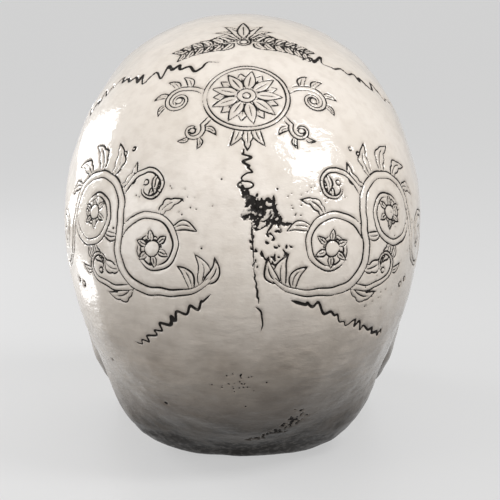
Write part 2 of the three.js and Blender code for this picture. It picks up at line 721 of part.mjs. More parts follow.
// Keeps the largest piece of a skin
function mainPiece({ points, faces }) {
  const parent = Array.from({ length: points.length / 3 }, (_, i) => i);
  const find = (v) => {
    while (parent[v] !== v) {
      parent[v] = parent[parent[v]];
      v = parent[v];
    }
    return v;
  };
  for (const [a, b, c] of faces) {
    parent[find(a)] = find(b);
    parent[find(b)] = find(c);
  }
  const sizes = new Map();
  for (const f of faces) sizes.set(find(f[0]), (sizes.get(find(f[0])) ?? 0) + 1);
  const best = [...sizes].sort((p, q) => q[1] - p[1])[0][0];
  return { points, faces: faces.filter((f) => find(f[0]) === best) };
}

// Thins a skin to `target` facets by folding up the edges that matter least to its shape
function thin({ points, faces }, target) {
  const n = points.length / 3;
  const p = points;
  const quadric = new Float64Array(n * 10);
  const around = Array.from({ length: n }, () => new Set());
  const live = faces.map(() => true);
  let count = faces.length;
  const normalOf = (a, b, c) => {
    const ux = p[b] - p[a];
    const uy = p[b + 1] - p[a + 1];
    const uz = p[b + 2] - p[a + 2];
    const vx = p[c] - p[a];
    const vy = p[c + 1] - p[a + 1];
    const vz = p[c + 2] - p[a + 2];
    return [uy * vz - uz * vy, uz * vx - ux * vz, ux * vy - uy * vx];
  };
  faces.forEach((f, i) => {
    const m = normalOf(f[0] * 3, f[1] * 3, f[2] * 3);
    const size = hypot(...m);
    f.forEach((v) => around[v].add(i));
    if (size === 0) return;
    const [a, b, c] = m.map((s) => s / size);
    const o = f[0] * 3;
    const d = -(a * p[o] + b * p[o + 1] + c * p[o + 2]);
    const w = size / 2;
    const terms = [a * a, a * b, a * c, a * d, b * b, b * c, b * d, c * c, c * d, d * d];
    for (const v of f) for (let k = 0; k < 10; k++) quadric[v * 10 + k] += terms[k] * w;
  });
  const version = new Uint32Array(n);
  const heap = [];
  const push = (item) => {
    heap.push(item);
    let i = heap.length - 1;
    while (i > 0) {
      const up = (i - 1) >> 1;
      if (heap[up].cost <= heap[i].cost) break;
      [heap[up], heap[i]] = [heap[i], heap[up]];
      i = up;
    }
  };
  const pop = () => {
    const top = heap[0];
    const last = heap.pop();
    if (heap.length) {
      heap[0] = last;
      let i = 0;
      for (;;) {
        const l = 2 * i + 1;
        if (l >= heap.length) break;
        const r = l + 1;
        const c = r < heap.length && heap[r].cost < heap[l].cost ? r : l;
        if (heap[i].cost <= heap[c].cost) break;
        [heap[c], heap[i]] = [heap[i], heap[c]];
        i = c;
      }
    }
    return top;
  };
  const errorAt = (q, x, y, z) =>
    q[0] * x * x + 2 * q[1] * x * y + 2 * q[2] * x * z + 2 * q[3] * x + q[4] * y * y
    + 2 * q[5] * y * z + 2 * q[6] * y + q[7] * z * z + 2 * q[8] * z + q[9];
  const q = new Float64Array(10);
  const consider = (a, b) => {
    for (let k = 0; k < 10; k++) q[k] = quadric[a * 10 + k] + quadric[b * 10 + k];
    const mx = (p[a * 3] + p[b * 3]) / 2;
    const my = (p[a * 3 + 1] + p[b * 3 + 1]) / 2;
    const mz = (p[a * 3 + 2] + p[b * 3 + 2]) / 2;
    const length = hypot(p[a * 3] - p[b * 3], p[a * 3 + 1] - p[b * 3 + 1], p[a * 3 + 2] - p[b * 3 + 2]);
    const soft = 1e-3 * (q[0] + q[4] + q[7]);
    const A = q[0] + soft;
    const E = q[4] + soft;
    const I = q[7] + soft;
    const B = q[1];
    const C = q[2];
    const F = q[5];
    const rx = soft * mx - q[3];
    const ry = soft * my - q[6];
    const rz = soft * mz - q[8];
    const det = A * (E * I - F * F) - B * (B * I - F * C) + C * (B * F - E * C);
    let x = mx;
    let y = my;
    let z = mz;
    if (abs(det) > 1e-12) {
      x = (rx * (E * I - F * F) - B * (ry * I - F * rz) + C * (ry * F - E * rz)) / det;
      y = (A * (ry * I - F * rz) - rx * (B * I - F * C) + C * (B * rz - ry * C)) / det;
      z = (A * (E * rz - ry * F) - B * (B * rz - ry * C) + rx * (B * F - E * C)) / det;
      if (hypot(x - mx, y - my, z - mz) > length * 1.5) {
        x = mx;
        y = my;
        z = mz;
      }
    }
    const cost = max(0, errorAt(q, x, y, z)) + 1e-5 * length * length;
    push({ cost, a, b, x, y, z, va: version[a], vb: version[b] });
  };
  const neighbours = (v) => {
    const found = new Set();
    for (const f of around[v]) for (const u of faces[f]) if (u !== v) found.add(u);
    return found;
  };
  for (let v = 0; v < n; v++) for (const u of neighbours(v)) if (u > v) consider(v, u);
  const folds = (v, other, x, y, z) => {
    for (const f of around[v]) {
      const t = faces[f];
      if (t[0] === other || t[1] === other || t[2] === other) continue;
      const before = normalOf(t[0] * 3, t[1] * 3, t[2] * 3);
      const [a, b, c] = t.map((u) => (u === v ? [x, y, z] : [p[u * 3], p[u * 3 + 1], p[u * 3 + 2]]));
      const ux = b[0] - a[0];
      const uy = b[1] - a[1];
      const uz = b[2] - a[2];
      const vx = c[0] - a[0];
      const vy = c[1] - a[1];
      const vz = c[2] - a[2];
      const nx = uy * vz - uz * vy;
      const ny = uz * vx - ux * vz;
      const nz = ux * vy - uy * vx;
      const size = hypot(nx, ny, nz);
      const dot = before[0] * nx + before[1] * ny + before[2] * nz;
      if (size < 1e-4 || dot < 0.35 * hypot(before[0], before[1], before[2]) * size) return true;
      const longest = max(hypot(ux, uy, uz), hypot(vx, vy, vz), hypot(ux - vx, uy - vy, uz - vz));
      if (size < 0.06 * longest * longest) return true;
    }
    return false;
  };
  while (count > target && heap.length) {
    const e = pop();
    if (e.va !== version[e.a] || e.vb !== version[e.b]) continue;
    if (!around[e.a].size || !around[e.b].size) continue;
    const na = neighbours(e.a);
    const nb = neighbours(e.b);
    let shared = 0;
    for (const u of na) if (nb.has(u)) shared++;
    if (shared !== 2) continue;
    if (folds(e.a, e.b, e.x, e.y, e.z) || folds(e.b, e.a, e.x, e.y, e.z)) continue;
    p[e.a * 3] = e.x;
    p[e.a * 3 + 1] = e.y;
    p[e.a * 3 + 2] = e.z;
    for (let k = 0; k < 10; k++) quadric[e.a * 10 + k] += quadric[e.b * 10 + k];
    for (const f of [...around[e.b]]) {
      const t = faces[f];
      if (t.includes(e.a)) {
        live[f] = false;
        count--;
        for (const u of t) around[u].delete(f);
      } else {
        t[t.indexOf(e.b)] = e.a;
        around[e.a].add(f);
      }
    }
    around[e.b].clear();
    version[e.a]++;
    version[e.b]++;
    for (const u of neighbours(e.a)) consider(e.a, u);
  }
  return { points: p, faces: faces.filter((f, i) => live[i]) };
}

function solidOfFacets(vertProperties, triVerts) {
  const build = () =>
    new wasm.Manifold(
      new wasm.Mesh({
        numProp: 3,
        vertProperties: Float32Array.from(vertProperties),
        triVerts: Uint32Array.from(triVerts),
      }),
    );
  const made = build();
  if (made.volume() > 0) return made;
  for (let i = 0; i < triVerts.length; i += 3) {
    [triVerts[i + 1], triVerts[i + 2]] = [triVerts[i + 2], triVerts[i + 1]];
  }
  return build();
}

function solidOfSkin({ points, faces }) {
  const order = new Map();
  const places = [];
  const corners = [];
  for (const f of faces) {
    for (const v of f) {
      if (!order.has(v)) {
        order.set(v, order.size);
        places.push(points[v * 3], points[v * 3 + 1], points[v * 3 + 2]);
      }
      corners.push(order.get(v));
    }
  }
  return solidOfFacets(places, corners);
}

function solidOfGeometry(geometry, matrix = new THREE.Matrix4()) {
  const plain = new THREE.BufferGeometry();
  const source = geometry.index ? geometry.toNonIndexed() : geometry;
  plain.setAttribute('position', source.getAttribute('position').clone());
  plain.applyMatrix4(matrix);
  const merged = mergeVertices(plain, 1e-4);
  return solidOfFacets(merged.attributes.position.array, Array.from(merged.index.array));
}

function geometryOfSolid(solid) {
  const mesh = solid.getMesh();
  const geometry = new THREE.BufferGeometry();
  const position = new Float32Array(mesh.numVert * 3);
  for (let i = 0; i < mesh.numVert; i++) {
    position.set(mesh.vertProperties.subarray(i * mesh.numProp, i * mesh.numProp + 3), i * 3);
  }
  geometry.setAttribute('position', new THREE.BufferAttribute(position, 3));
  geometry.setIndex(new THREE.BufferAttribute(Uint32Array.from(mesh.triVerts), 1));
  geometry.computeVertexNormals();
  return geometry;
}

const place = (x, y, z) => new THREE.Matrix4().makeTranslation(x, y, z);

// A box between two corners
function box(low, high) {
  const size = high.map((v, i) => v - low[i]);
  const middle = high.map((v, i) => (v + low[i]) / 2);
  return solidOfGeometry(new THREE.BoxGeometry(...size), place(...middle));
}

// A round pin along X, from one x to another, centred on y and z
const pinSides = 24;
const ovalSides = 40;
function pin(fromX, toX, y, z, radius) {
  const along = new THREE.Matrix4().makeRotationZ(PI / 2);
  const at = place((fromX + toX) / 2, y, z).multiply(along);
  return solidOfGeometry(new THREE.CylinderGeometry(radius, radius, abs(toX - fromX), pinSides), at);
}

// Room for a form's samples round the head, in hundredths of its span
const craniumRoomShares = [[-37, -56, -30], [37, 50, 63]];
const mandibleRoomShares = [[-32, -54, -56], [32, 4, 4]];
const crownRoomShares = [[-20, -52], [20, -16]];
const [craniumLow, craniumHigh] = mm(craniumRoomShares);
const [mandibleLow, mandibleHigh] = mm(mandibleRoomShares);
const [crownLow, crownHigh] = mm(crownRoomShares);

function cast(form, low, high, cell, rounds, facets) {
  const [from, to] = roomFor(form, low, high, cell);
  return solidOfSkin(thin(smooth(mainPiece(skin(form, from, to, cell)), rounds), facets));
}
const boneRounds = 5;
const jawRounds = 8;
const hollowRounds = 1;
const craniumCast = cast(craniumForm, craniumLow, craniumHigh, craniumCell, boneRounds, craniumFacets);
const cavity = cast(cavityForm, craniumLow, craniumHigh, cavityCell, hollowRounds, cavityFacets);
const mandibleCast = cast(mandibleForm, mandibleLow, mandibleHigh, mandibleCell, jawRounds, mandibleFacets);

// The opening under the skull, an oval hole into the hollow
const neckHole = solidOfGeometry(
  new THREE.CylinderGeometry(1, 1, 1, ovalSides),
  place(
    0,
    neckOpeningShares.back * hundredth,
    ((neckOpeningShares.top + craniumRoomShares[0][2]) / 2) * hundredth,
  )
    .multiply(new THREE.Matrix4().makeScale(
      neckOpeningShares.halfBreadth * hundredth,
      neckOpeningShares.halfLength * hundredth,
      (neckOpeningShares.top - craniumRoomShares[0][2]) * hundredth,
    ))
    .multiply(new THREE.Matrix4().makeRotationX(PI / 2)),
);

// A U-shaped strip that follows a tooth row, `half` thick to each side, between two levels
const stripSteps = 12;
function strip(grow, half, backEnd, low, high) {
  const outline = [];
  for (const side of [half, -half]) {
    const run = [];
    for (let i = 0; i <= stripSteps; i++) run.push(archPoint(i / stripSteps, grow + side));
    run.push([archHalf + grow + side, backEnd]);
    const mirrored = run.slice(1).map(([x, y]) => [-x, y]).reverse();
    const whole = [...mirrored, ...run];
    outline.push(...(side > 0 ? whole : whole.reverse()));
  }
  const shape = new THREE.Shape(outline.map(([x, y]) => new THREE.Vector2(x, y)));
  const body = new THREE.ExtrudeGeometry(shape, { depth: high - low, bevelEnabled: false });
  return solidOfGeometry(body, place(0, 0, low));
}

// The root of each tooth row is a rail that is glued into a groove of the bone
const railShares = { half: 1.15, depth: 1.5, bite: 0.6, endInset: 0.8 };
const railHalf = railShares.half * hundredth;
const railDepth = railShares.depth * hundredth;
const railBite = railShares.bite * hundredth;
const railInset = railShares.endInset * hundredth;
const heelGap = railInset + seatGap * 2; // behind the last lower tooth, where the bone rises again

function rowEnd(places) {
  const last = places[places.length - 1];
  return last.middle[1] + last.breadth / 2 - railInset;
}
const upperEnd = rowEnd(upperPlaces);
const lowerEnd = rowEnd(lowerPlaces);

function crowns(row, height, facets) {
  const top = height * 1.6;
  const bottom = -height * crownSinkShare * 1.4;
  const [from, to] = roomFor(row, [...crownLow, bottom], [...crownHigh, top], crownCell);
  const rough = skin(row, from, to, crownCell);
  const whole = solidOfSkin(thin(smooth(rough, 1), facets));
  const sink = box([from[0], from[1], from[2] - cutOverrun], [to[0], to[1], 0]);
  return whole.subtract(sink);
}
const upsideDown = new THREE.Matrix4().makeScale(1, 1, -1);
function movedSolid(solid, matrix) {
  return solidOfGeometry(geometryOfSolid(solid), matrix);
}
const upperCrowns = movedSolid(
  crowns(upperRow, upperHeight, upperCrownFacets),
  place(0, 0, upperGum - seatGap).multiply(upsideDown),
);
const lowerCrowns = movedSolid(
  crowns(lowerRow, lowerHeight, lowerCrownFacets),
  place(0, 0, lowerGum + seatGap),
);
// A casting has no sealed hollows: its inner skins, which enclose air, are left out
function filled(solid) {
  return solid.decompose().filter((piece) => piece.volume() > 0).reduce((whole, piece) => whole.add(piece));
}
const upperTeeth = filled(upperCrowns.add(
  strip(0, railHalf, upperEnd, upperGum - seatGap - railBite, upperGum + railDepth),
));
const lowerTeeth = filled(lowerCrowns.add(
  strip(-lowerInset, railHalf, lowerEnd, lowerGum - railDepth, lowerGum + seatGap + railBite),
));
const upperGroove = strip(
  0,
  railHalf + seatGap,
  upperEnd + seatGap,
  upperGum - cutOverrun,
  upperGum + railDepth + seatGap,
);
const lowerGroove = strip(
  -lowerInset,
  railHalf + seatGap,
  lowerEnd + seatGap,
  lowerGum - railDepth - seatGap,
  lowerGum + cutOverrun,
);

// Places along the pivot, to the left of the middle
const knuckleEnd = hingeOut + knuckleHalf;
const spotFace = knuckleEnd - spotFaceDepth;
const washerFrom = spotFace + seatGap;
const headFrom = washerFrom + washerThickness + seatGap;
const bossFace = hingeOut - knuckleHalf - swingGap;
const screwEnd = bossFace - screwGrip;

function pivotScrew(side) {
  const profile = [
    [0, screwEnd], [screwRadius, screwEnd + screwTip], [screwRadius, headFrom],
    [screwHeadRadius, headFrom], [screwHeadRadius, headFrom + screwHeadHeight / 2],
    [screwHeadRadius * 0.7, headFrom + screwHeadHeight], [0, headFrom + screwHeadHeight],
  ].map(([r, x]) => new THREE.Vector2(r, x));
  const body = new THREE.LatheGeometry(profile, pinSides);
  const turn = new THREE.Matrix4().makeRotationZ((-side * PI) / 2);
  return solidOfGeometry(body, place(0, hingeBack, hingeUp).multiply(turn));
}

function washer(side) {
  const bore = screwRadius + washerBoreGap;
  const profile = [
    [bore, washerFrom], [washerRadius, washerFrom], [washerRadius, washerFrom + washerThickness],
    [bore, washerFrom + washerThickness], [bore, washerFrom],
  ].map(([r, x]) => new THREE.Vector2(r, x));
  const body = new THREE.LatheGeometry(profile, pinSides);
  const turn = new THREE.Matrix4().makeRotationZ((-side * PI) / 2);
  return solidOfGeometry(body, place(0, hingeBack, hingeUp).multiply(turn));
}

// The jaw's springs hang between an eye in the temple and an eye in the jaw's front horn
const upperEyeShares = [27.6, -19, 12];
const lowerEyeShares = [27, -20.2, -8.2];
const upperSeatShares = 24.2; // where the temple's surface lies under the eye, out from the middle
const lowerSeatShares = 24.6;
const upperEye = mm(upperEyeShares);
const lowerEye = mm(lowerEyeShares);
const upperSeat = upperSeatShares * hundredth;
const lowerSeat = lowerSeatShares * hundredth;

const eyeSides = 14;
const eyeWireSides = 6;
const stemSides = 8;
function screwEye([x, y, z], seat, side) {
  const ring = solidOfGeometry(
    new THREE.TorusGeometry(eyeRadius, eyeWire / 2, eyeWireSides, eyeSides),
    place(x * side, y, z).multiply(new THREE.Matrix4().makeRotationX(PI / 2)),
  );
  const stemEnd = (seat - eyeStemGrip) * side;
  const along = new THREE.Matrix4().makeRotationZ(PI / 2);
  const stemStart = (x - eyeRadius) * side;
  const stem = solidOfGeometry(
    new THREE.CylinderGeometry(eyeStemRadius, eyeStemRadius, abs(stemStart - stemEnd), stemSides),
    place((stemStart + stemEnd) / 2, y, z).multiply(along),
  );
  return ring.add(stem);
}
function eyeHole([x, y, z], seat, side) {
  const from = (seat - eyeStemGrip - seatGap) * side;
  return pin(from, x * side, y, z, eyeStemRadius + seatGap);
}

// A round wire through points, closed by flat ends
function wire(points, radius, sides) {
  const n = points.length;
  const position = [];
  const index = [];
  const tangent = (i) =>
    new THREE.Vector3().subVectors(points[min(n - 1, i + 1)], points[max(0, i - 1)]).normalize();
  let before = tangent(0);
  const normal = new THREE.Vector3(1, 0, 0).cross(before);
  if (normal.length() < 0.1) normal.set(0, 1, 0).cross(before);
  normal.normalize();
  for (let i = 0; i < n; i++) {
    const ahead = tangent(i);
    normal.applyQuaternion(new THREE.Quaternion().setFromUnitVectors(before, ahead)).normalize();
    const side = new THREE.Vector3().crossVectors(ahead, normal);
    before = ahead;
    for (let s = 0; s < sides; s++) {
      const turn = (s / sides) * 2 * PI;
      const p = points[i].clone()
        .addScaledVector(normal, radius * cos(turn))
        .addScaledVector(side, radius * sin(turn));
      position.push(p.x, p.y, p.z);
    }
  }
  for (let i = 0; i < n - 1; i++) {
    for (let s = 0; s < sides; s++) {
      const a = i * sides + s;
      const b = i * sides + ((s + 1) % sides);
      index.push(a, b, b + sides, a, b + sides, a + sides);
    }
  }
  for (let s = 1; s < sides - 1; s++) {
    index.push(0, s + 1, s);
    const o = (n - 1) * sides;
    index.push(o, o + s, o + s + 1);
  }
  return solidOfFacets(position, index);
}

// One spring: a hook, straight lead, coils, lead and hook, in one wire
const hookOpenFrom = degrees(-140);
const hookOpenTo = degrees(90);
const hookSteps = 14;
const curlSteps = 8;
const wireSides = 5;
const leadShare = 0.75; // straight run from the hook's middle to the first coil, per hook radius
function springRoute(side) {
  const drop = eyeRadius + hookRadius - eyeWire / 2 - springWire / 2 - hookGap;
  const top = new THREE.Vector3(upperEye[0] * side, upperEye[1], upperEye[2] - drop);
  const bottom = new THREE.Vector3(lowerEye[0] * side, lowerEye[1], lowerEye[2] + drop);
  const down = new THREE.Vector3().subVectors(bottom, top);
  const length = down.length();
  down.normalize();
  const across = new THREE.Vector3(0, 1, 0).addScaledVector(down, -down.y).normalize();
  const third = new THREE.Vector3().crossVectors(down, across);
  const lead = hookRadius * (1 + leadShare);
  const curls = Math.floor((length - 2 * lead) / springPitch);
  const pitch = (length - 2 * lead) / curls;
  const at = (w, u, v) =>
    top.clone().addScaledVector(down, w).addScaledVector(across, u).addScaledVector(third, v);
  const points = [];
  for (let i = 0; i < hookSteps; i++) {
    const turn = mix(hookOpenFrom, hookOpenTo, i / hookSteps);
    points.push(at(-hookRadius * cos(turn), hookRadius * sin(turn), 0));
  }
  points.push(at(0, hookRadius, 0));
  points.push(at(lead / 2, mix(hookRadius, springCoilRadius, 0.5), 0));
  for (let i = 0; i <= curls * curlSteps; i++) {
    const turn = (i / curlSteps) * 2 * PI;
    points.push(at(
      lead + (i / curlSteps) * pitch,
      springCoilRadius * cos(turn),
      springCoilRadius * sin(turn),
    ));
  }
  points.push(at(length - lead / 2, mix(hookRadius, springCoilRadius, 0.5), 0));
  points.push(at(length, hookRadius, 0));
  for (let i = 1; i <= hookSteps; i++) {
    const turn = mix(hookOpenTo, hookOpenFrom, i / hookSteps);
    points.push(at(length + hookRadius * cos(turn), hookRadius * sin(turn), 0));
  }
  return { points, curls };
}

// The least gap of a wire to itself, between points more than half a curl apart along it
function leastGap(points) {
  let least = Infinity;
  for (let i = 0; i < points.length; i++) {
    for (let j = i + curlSteps - 2; j < points.length; j++) {
      least = min(least, points[i].distanceTo(points[j]) - springWire);
    }
  }
  return least;
}

let craniumSolid = craniumCast.subtract(cavity).subtract(neckHole).subtract(upperGroove);
craniumSolid = craniumSolid.subtract(
  box([craniumLow[0], -headSpan, -headSpan], [craniumHigh[0], archBack + cutOverrun, upperGum]),
);
let mandibleSolid = mandibleCast.subtract(
  box(
    [-archHalf - upperGumHalf, -headSpan, lowerGum],
    [archHalf + upperGumHalf, lowerEnd + heelGap, -upperGum],
  ),
);
mandibleSolid = mandibleSolid.subtract(lowerGroove);
for (const side of [1, -1]) {
  const drill = (from, to, radius) => pin(from * side, to * side, hingeBack, hingeUp, radius);
  const bossBore = drill(screwEnd - seatGap, hingeOut, screwRadius + seatGap);
  const headRoom = drill(spotFace, headFrom + screwHeadHeight + cutOverrun, spotFaceRadius + seatGap);
  craniumSolid = craniumSolid.subtract(bossBore).subtract(headRoom);
  craniumSolid = craniumSolid.subtract(eyeHole(upperEye, upperSeat, side));
  const knuckleBore = drill(bossFace - cutOverrun, knuckleEnd + cutOverrun, screwRadius + pivotGap);
  const spot = drill(spotFace, knuckleEnd + cutOverrun, spotFaceRadius);
  mandibleSolid = mandibleSolid.subtract(knuckleBore).subtract(spot);
  mandibleSolid = mandibleSolid.subtract(eyeHole(lowerEye, lowerSeat, side));
}

// How far the skull tips back to stand on the back of the head and the corners of the jaw
function lowestPoint(solid, tilt, ahead) {
  const mesh = solid.getMesh();
  let least = Infinity;
  for (let i = 0; i < mesh.numVert; i++) {
    const y = mesh.vertProperties[i * mesh.numProp + 1];
    const z = mesh.vertProperties[i * mesh.numProp + 2];
    if (y > 0 === ahead) continue;
    least = min(least, z * cos(tilt) - y * sin(tilt));
  }
  return least;
}
let leastTilt = degrees(15);
let mostTilt = degrees(55);
for (let i = 0; i < 40; i++) {
  const tilt = (leastTilt + mostTilt) / 2;
  const headLow = lowestPoint(craniumSolid, tilt, false);
  const jawLow = lowestPoint(mandibleSolid, tilt, true);
  if (headLow > jawLow) leastTilt = tilt;
  else mostTilt = tilt;
}
const restTilt = leastTilt;
const restLevel = lowestPoint(craniumSolid, restTilt, false) + restFlat;
const tipped = new THREE.Matrix4().makeRotationX(-restTilt);
const ground = solidOfGeometry(
  new THREE.BoxGeometry(headSpan * 2, headSpan * 3, headSpan),
  new THREE.Matrix4().copy(tipped).invert().multiply(place(0, 0, restLevel - headSpan / 2)),
);
craniumSolid = craniumSolid.subtract(ground);
mandibleSolid = mandibleSolid.subtract(ground);

const bone = new THREE.MeshStandardMaterial({ color: 0xe9e2d8, roughness: 0.28, metalness: 0 });
const ivory = new THREE.MeshStandardMaterial({ color: 0xe6dcc4, roughness: 0.25, metalness: 0 });
const steel = new THREE.MeshStandardMaterial({ color: 0xb9bcbf, roughness: 0.3, metalness: 1 });

const skull = new THREE.Group();
const add = (name, solid, material) => {
  const mesh = new THREE.Mesh(geometryOfSolid(solid), material);
  mesh.name = name;
  skull.add(mesh);
};
add('cranium', craniumSolid, bone);
add('mandible', mandibleSolid, bone);
add('upper_teeth', upperTeeth, ivory);
add('lower_teeth', lowerTeeth, ivory);
for (const [name, side] of [['left', 1], ['right', -1]]) {
  add(`hinge_screw_${name}`, pivotScrew(side), steel);
  add(`hinge_washer_${name}`, washer(side), steel);
  const route = springRoute(side);
  console.log(`jaw_spring_${name}: ${route.curls} curls, least gap ${leastGap(route.points).toFixed(2)} mm`);
  add(`jaw_spring_${name}`, wire(route.points, springWire / 2, wireSides), steel);
  add(`upper_spring_eye_${name}`, screwEye(upperEye, upperSeat, side), steel);
  add(`lower_spring_eye_${name}`, screwEye(lowerEye, lowerSeat, side), steel);
}

// Stand the skull on the table, with its overall box centred on the origin
skull.rotation.x = -restTilt;
const assembly = new THREE.Group();
assembly.add(skull);
assembly.updateMatrixWorld(true);
const bounds = new THREE.Box3().setFromObject(assembly, true);
skull.position.set(-(bounds.min.x + bounds.max.x) / 2, -(bounds.min.y + bounds.max.y) / 2, -restLevel);
console.log(`tipped back ${((restTilt * 180) / PI).toFixed(2)} degrees`);
const pivot = new THREE.Vector3(0, hingeBack, hingeUp).applyMatrix4(tipped).add(skull.position);
console.log(`hinge axis at y ${pivot.y.toFixed(3)} z ${pivot.z.toFixed(3)}`);

export default assembly;
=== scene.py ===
import bmesh
import bpy
import json
import math
import numpy as np
from mathutils import Matrix, Vector, noise
from mathutils.bvhtree import BVHTree
from mathutils.kdtree import KDTree


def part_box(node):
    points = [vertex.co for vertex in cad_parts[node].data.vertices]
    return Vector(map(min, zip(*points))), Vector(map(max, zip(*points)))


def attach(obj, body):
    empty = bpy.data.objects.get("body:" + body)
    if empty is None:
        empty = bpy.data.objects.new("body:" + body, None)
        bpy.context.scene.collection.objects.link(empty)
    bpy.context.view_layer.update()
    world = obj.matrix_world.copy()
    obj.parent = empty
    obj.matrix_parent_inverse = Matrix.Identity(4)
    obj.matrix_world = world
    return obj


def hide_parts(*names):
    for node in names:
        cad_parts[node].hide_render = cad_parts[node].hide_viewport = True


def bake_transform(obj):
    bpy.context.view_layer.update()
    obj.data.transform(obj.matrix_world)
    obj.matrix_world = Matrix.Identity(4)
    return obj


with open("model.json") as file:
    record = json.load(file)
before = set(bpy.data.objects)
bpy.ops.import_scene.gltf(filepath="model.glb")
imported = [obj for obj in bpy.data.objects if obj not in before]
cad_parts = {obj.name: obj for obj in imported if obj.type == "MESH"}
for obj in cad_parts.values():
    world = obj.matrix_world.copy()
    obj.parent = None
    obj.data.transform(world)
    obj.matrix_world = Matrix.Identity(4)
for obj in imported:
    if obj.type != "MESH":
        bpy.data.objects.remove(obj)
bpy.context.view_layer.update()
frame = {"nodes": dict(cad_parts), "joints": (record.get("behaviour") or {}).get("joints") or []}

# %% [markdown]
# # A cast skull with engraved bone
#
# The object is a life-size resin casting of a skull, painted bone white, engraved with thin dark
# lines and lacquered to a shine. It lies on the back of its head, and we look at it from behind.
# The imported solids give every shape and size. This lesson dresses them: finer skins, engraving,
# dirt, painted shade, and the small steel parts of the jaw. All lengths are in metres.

mm = 0.001
nodes = frame["nodes"]
hinge = Vector(frame["joints"][0]["pos_m"])
print("frame:", len(nodes), "nodes; hinge at", [round(v, 4) for v in hinge])


def into_scene(name, data):
    piece = bpy.data.objects.new(name, data)
    bpy.context.scene.collection.objects.link(piece)
    return piece


def new_mesh(name, points, faces=(), edges=(), smooth=False):
    mesh = bpy.data.meshes.new(name)
    mesh.from_pydata([tuple(p) for p in points], edges, [tuple(f) for f in faces])
    mesh.polygons.foreach_set("use_smooth", np.full(len(faces), smooth))
    return mesh


def store(mesh, name, values):
    """Keeps one number for each point under a name."""
    mesh.attributes.new(name, "FLOAT", "POINT").data.foreach_set("value", np.asarray(values, np.float32))


# %% [markdown]
# ## The camera
#
# The photograph looks at the back of the head from a little above. Its outline fits a camera about
# 0.9 m away with a long lens, so perspective is slight. The aim stands a few millimetres beside the
# middle, because the skull isn't quite centred in the picture. That needs no lens shift.

# %% Camera
picture = 500
focal_pixels = 2257
view_rise = math.radians(9)
view_distance = 0.9
aim = Vector((-2.8, 0, 67.4)) * mm

lens = bpy.data.cameras.new("camera")
lens.sensor_width = 36
lens.lens = focal_pixels / picture * lens.sensor_width
camera = into_scene("camera", lens)
camera.location = aim + view_distance * Vector((0, math.cos(view_rise), math.sin(view_rise)))
camera.rotation_euler = (aim - camera.location).to_track_quat("-Z", "Y").to_euler()
bpy.context.scene.camera = camera
bpy.context.scene.view_settings.view_transform = "Standard"
print("camera at", [round(v, 3) for v in camera.location], "lens", round(lens.lens, 1), "mm")

# %% [markdown]
# ## Node trees, written down
#
# Materials and geometry trees are built in code. A few short methods let a tree be read like
# arithmetic: each adds a node and returns what it gives, ready for the next.

# %% A notation for nodes
def feed(target, source):
    """Links an input to an output, or sets it to a value. Colours are written without alpha."""
    if isinstance(source, bpy.types.NodeSocket):
        target.id_data.links.new(source, target)
    else:
        target.default_value = (*source, 1) if target.type == "RGBA" else source


class Nodes:
    def __init__(self, tree):
        self.tree = tree
        self.shader = tree.nodes.get("Principled BSDF")

    def add(self, kind, links=(), **settings):
        """Adds a node. Settings set its properties, and links feed its inputs."""
        made = self.tree.nodes.new(kind)
        for key, value in settings.items():
            setattr(made, key, value)
        for key, source in dict(links).items():
            feed(made.inputs[key], source)
        return made

    def math(self, operation, *values):
        return self.add("ShaderNodeMath", dict(enumerate(values)), operation=operation).outputs[0]

    def times(self, value, *others):
        for other in others:
            value = self.math("MULTIPLY", value, other)
        return value

    def highest(self, value, *others):
        for other in others:
            value = self.math("MAXIMUM", value, other)
        return value

    def step(self, value, low, high, start=0.0, end=1.0):
        """A soft step from start, where the value is low, to end, where it is high."""
        given = {"Value": value, "From Min": low, "From Max": high, "To Min": start, "To Max": end}
        return self.add("ShaderNodeMapRange", given, interpolation_type="SMOOTHSTEP").outputs["Result"]

    def attribute(self, name):
        return self.add("ShaderNodeAttribute", attribute_name=name).outputs["Fac"]

    def place(self):
        return self.add("ShaderNodeTexCoord").outputs["Object"]

    def cloud(self, size, detail=2.0, squeeze=(1, 1, 1)):
        """Noise whose spots are about `size` metres wide, on object coordinates."""
        place = self.add("ShaderNodeMapping", {"Vector": self.place(), "Scale": squeeze}).outputs[0]
        given = {"Vector": place, "Scale": 1 / size, "Detail": detail}
        return self.add("ShaderNodeTexNoise", given).outputs[0]

    def layer(self, colour, share, tone):
        """Lays a tone over a colour."""
        return self.add("ShaderNodeMix", {0: share, 6: colour, 7: tone}, data_type="RGBA").outputs[2]

    def bumps(self, into, *layers):
        """Layers of (height, strength, depth), each bending the surface on top of the last."""
        last = None
        for height, strength, depth in layers:
            bump = self.add("ShaderNodeBump", {"Height": height, "Strength": strength, "Distance": depth})
            if last:
                feed(bump.inputs["Normal"], last)
            last = bump.outputs[0]
        feed(self.shader.inputs[into], last)

    def finish(self, **inputs):
        """Feeds the shader. An underscore stands for the space in an input's name."""
        for name, source in inputs.items():
            feed(self.shader.inputs[name.replace("_", " ")], source)


def new_paint(name):
    paint = bpy.data.materials.new(name)
    paint.use_nodes = True
    return paint, Nodes(paint.node_tree)


# %% [markdown]
# ## The studio
#
# Glossy lacquer shows its lamps, so the lamps are placed by their reflections. A strip and a broad
# side lamp at the picture's left make the long highlight there, and a window above on the right
# makes the bright patch. Both are rolled until their reflections lean as in the photograph. The
# small low strip stands where a mirrored table would show the strip again. Soft lamps overhead and
# in front, and a pale world, do the rest.

# %% Floor and lamps
half_floor = 8.0
head_middle = Vector((0, 0.03, 0.08))


def sight(tree):
    """1 where the background is looked at, straight or in metal and lacquer, and 0 where it lights."""
    path = tree.add("ShaderNodeLightPath").outputs
    return tree.highest(*(path[f"Is {kind} Ray"] for kind in ("Camera", "Glossy", "Transmission")))


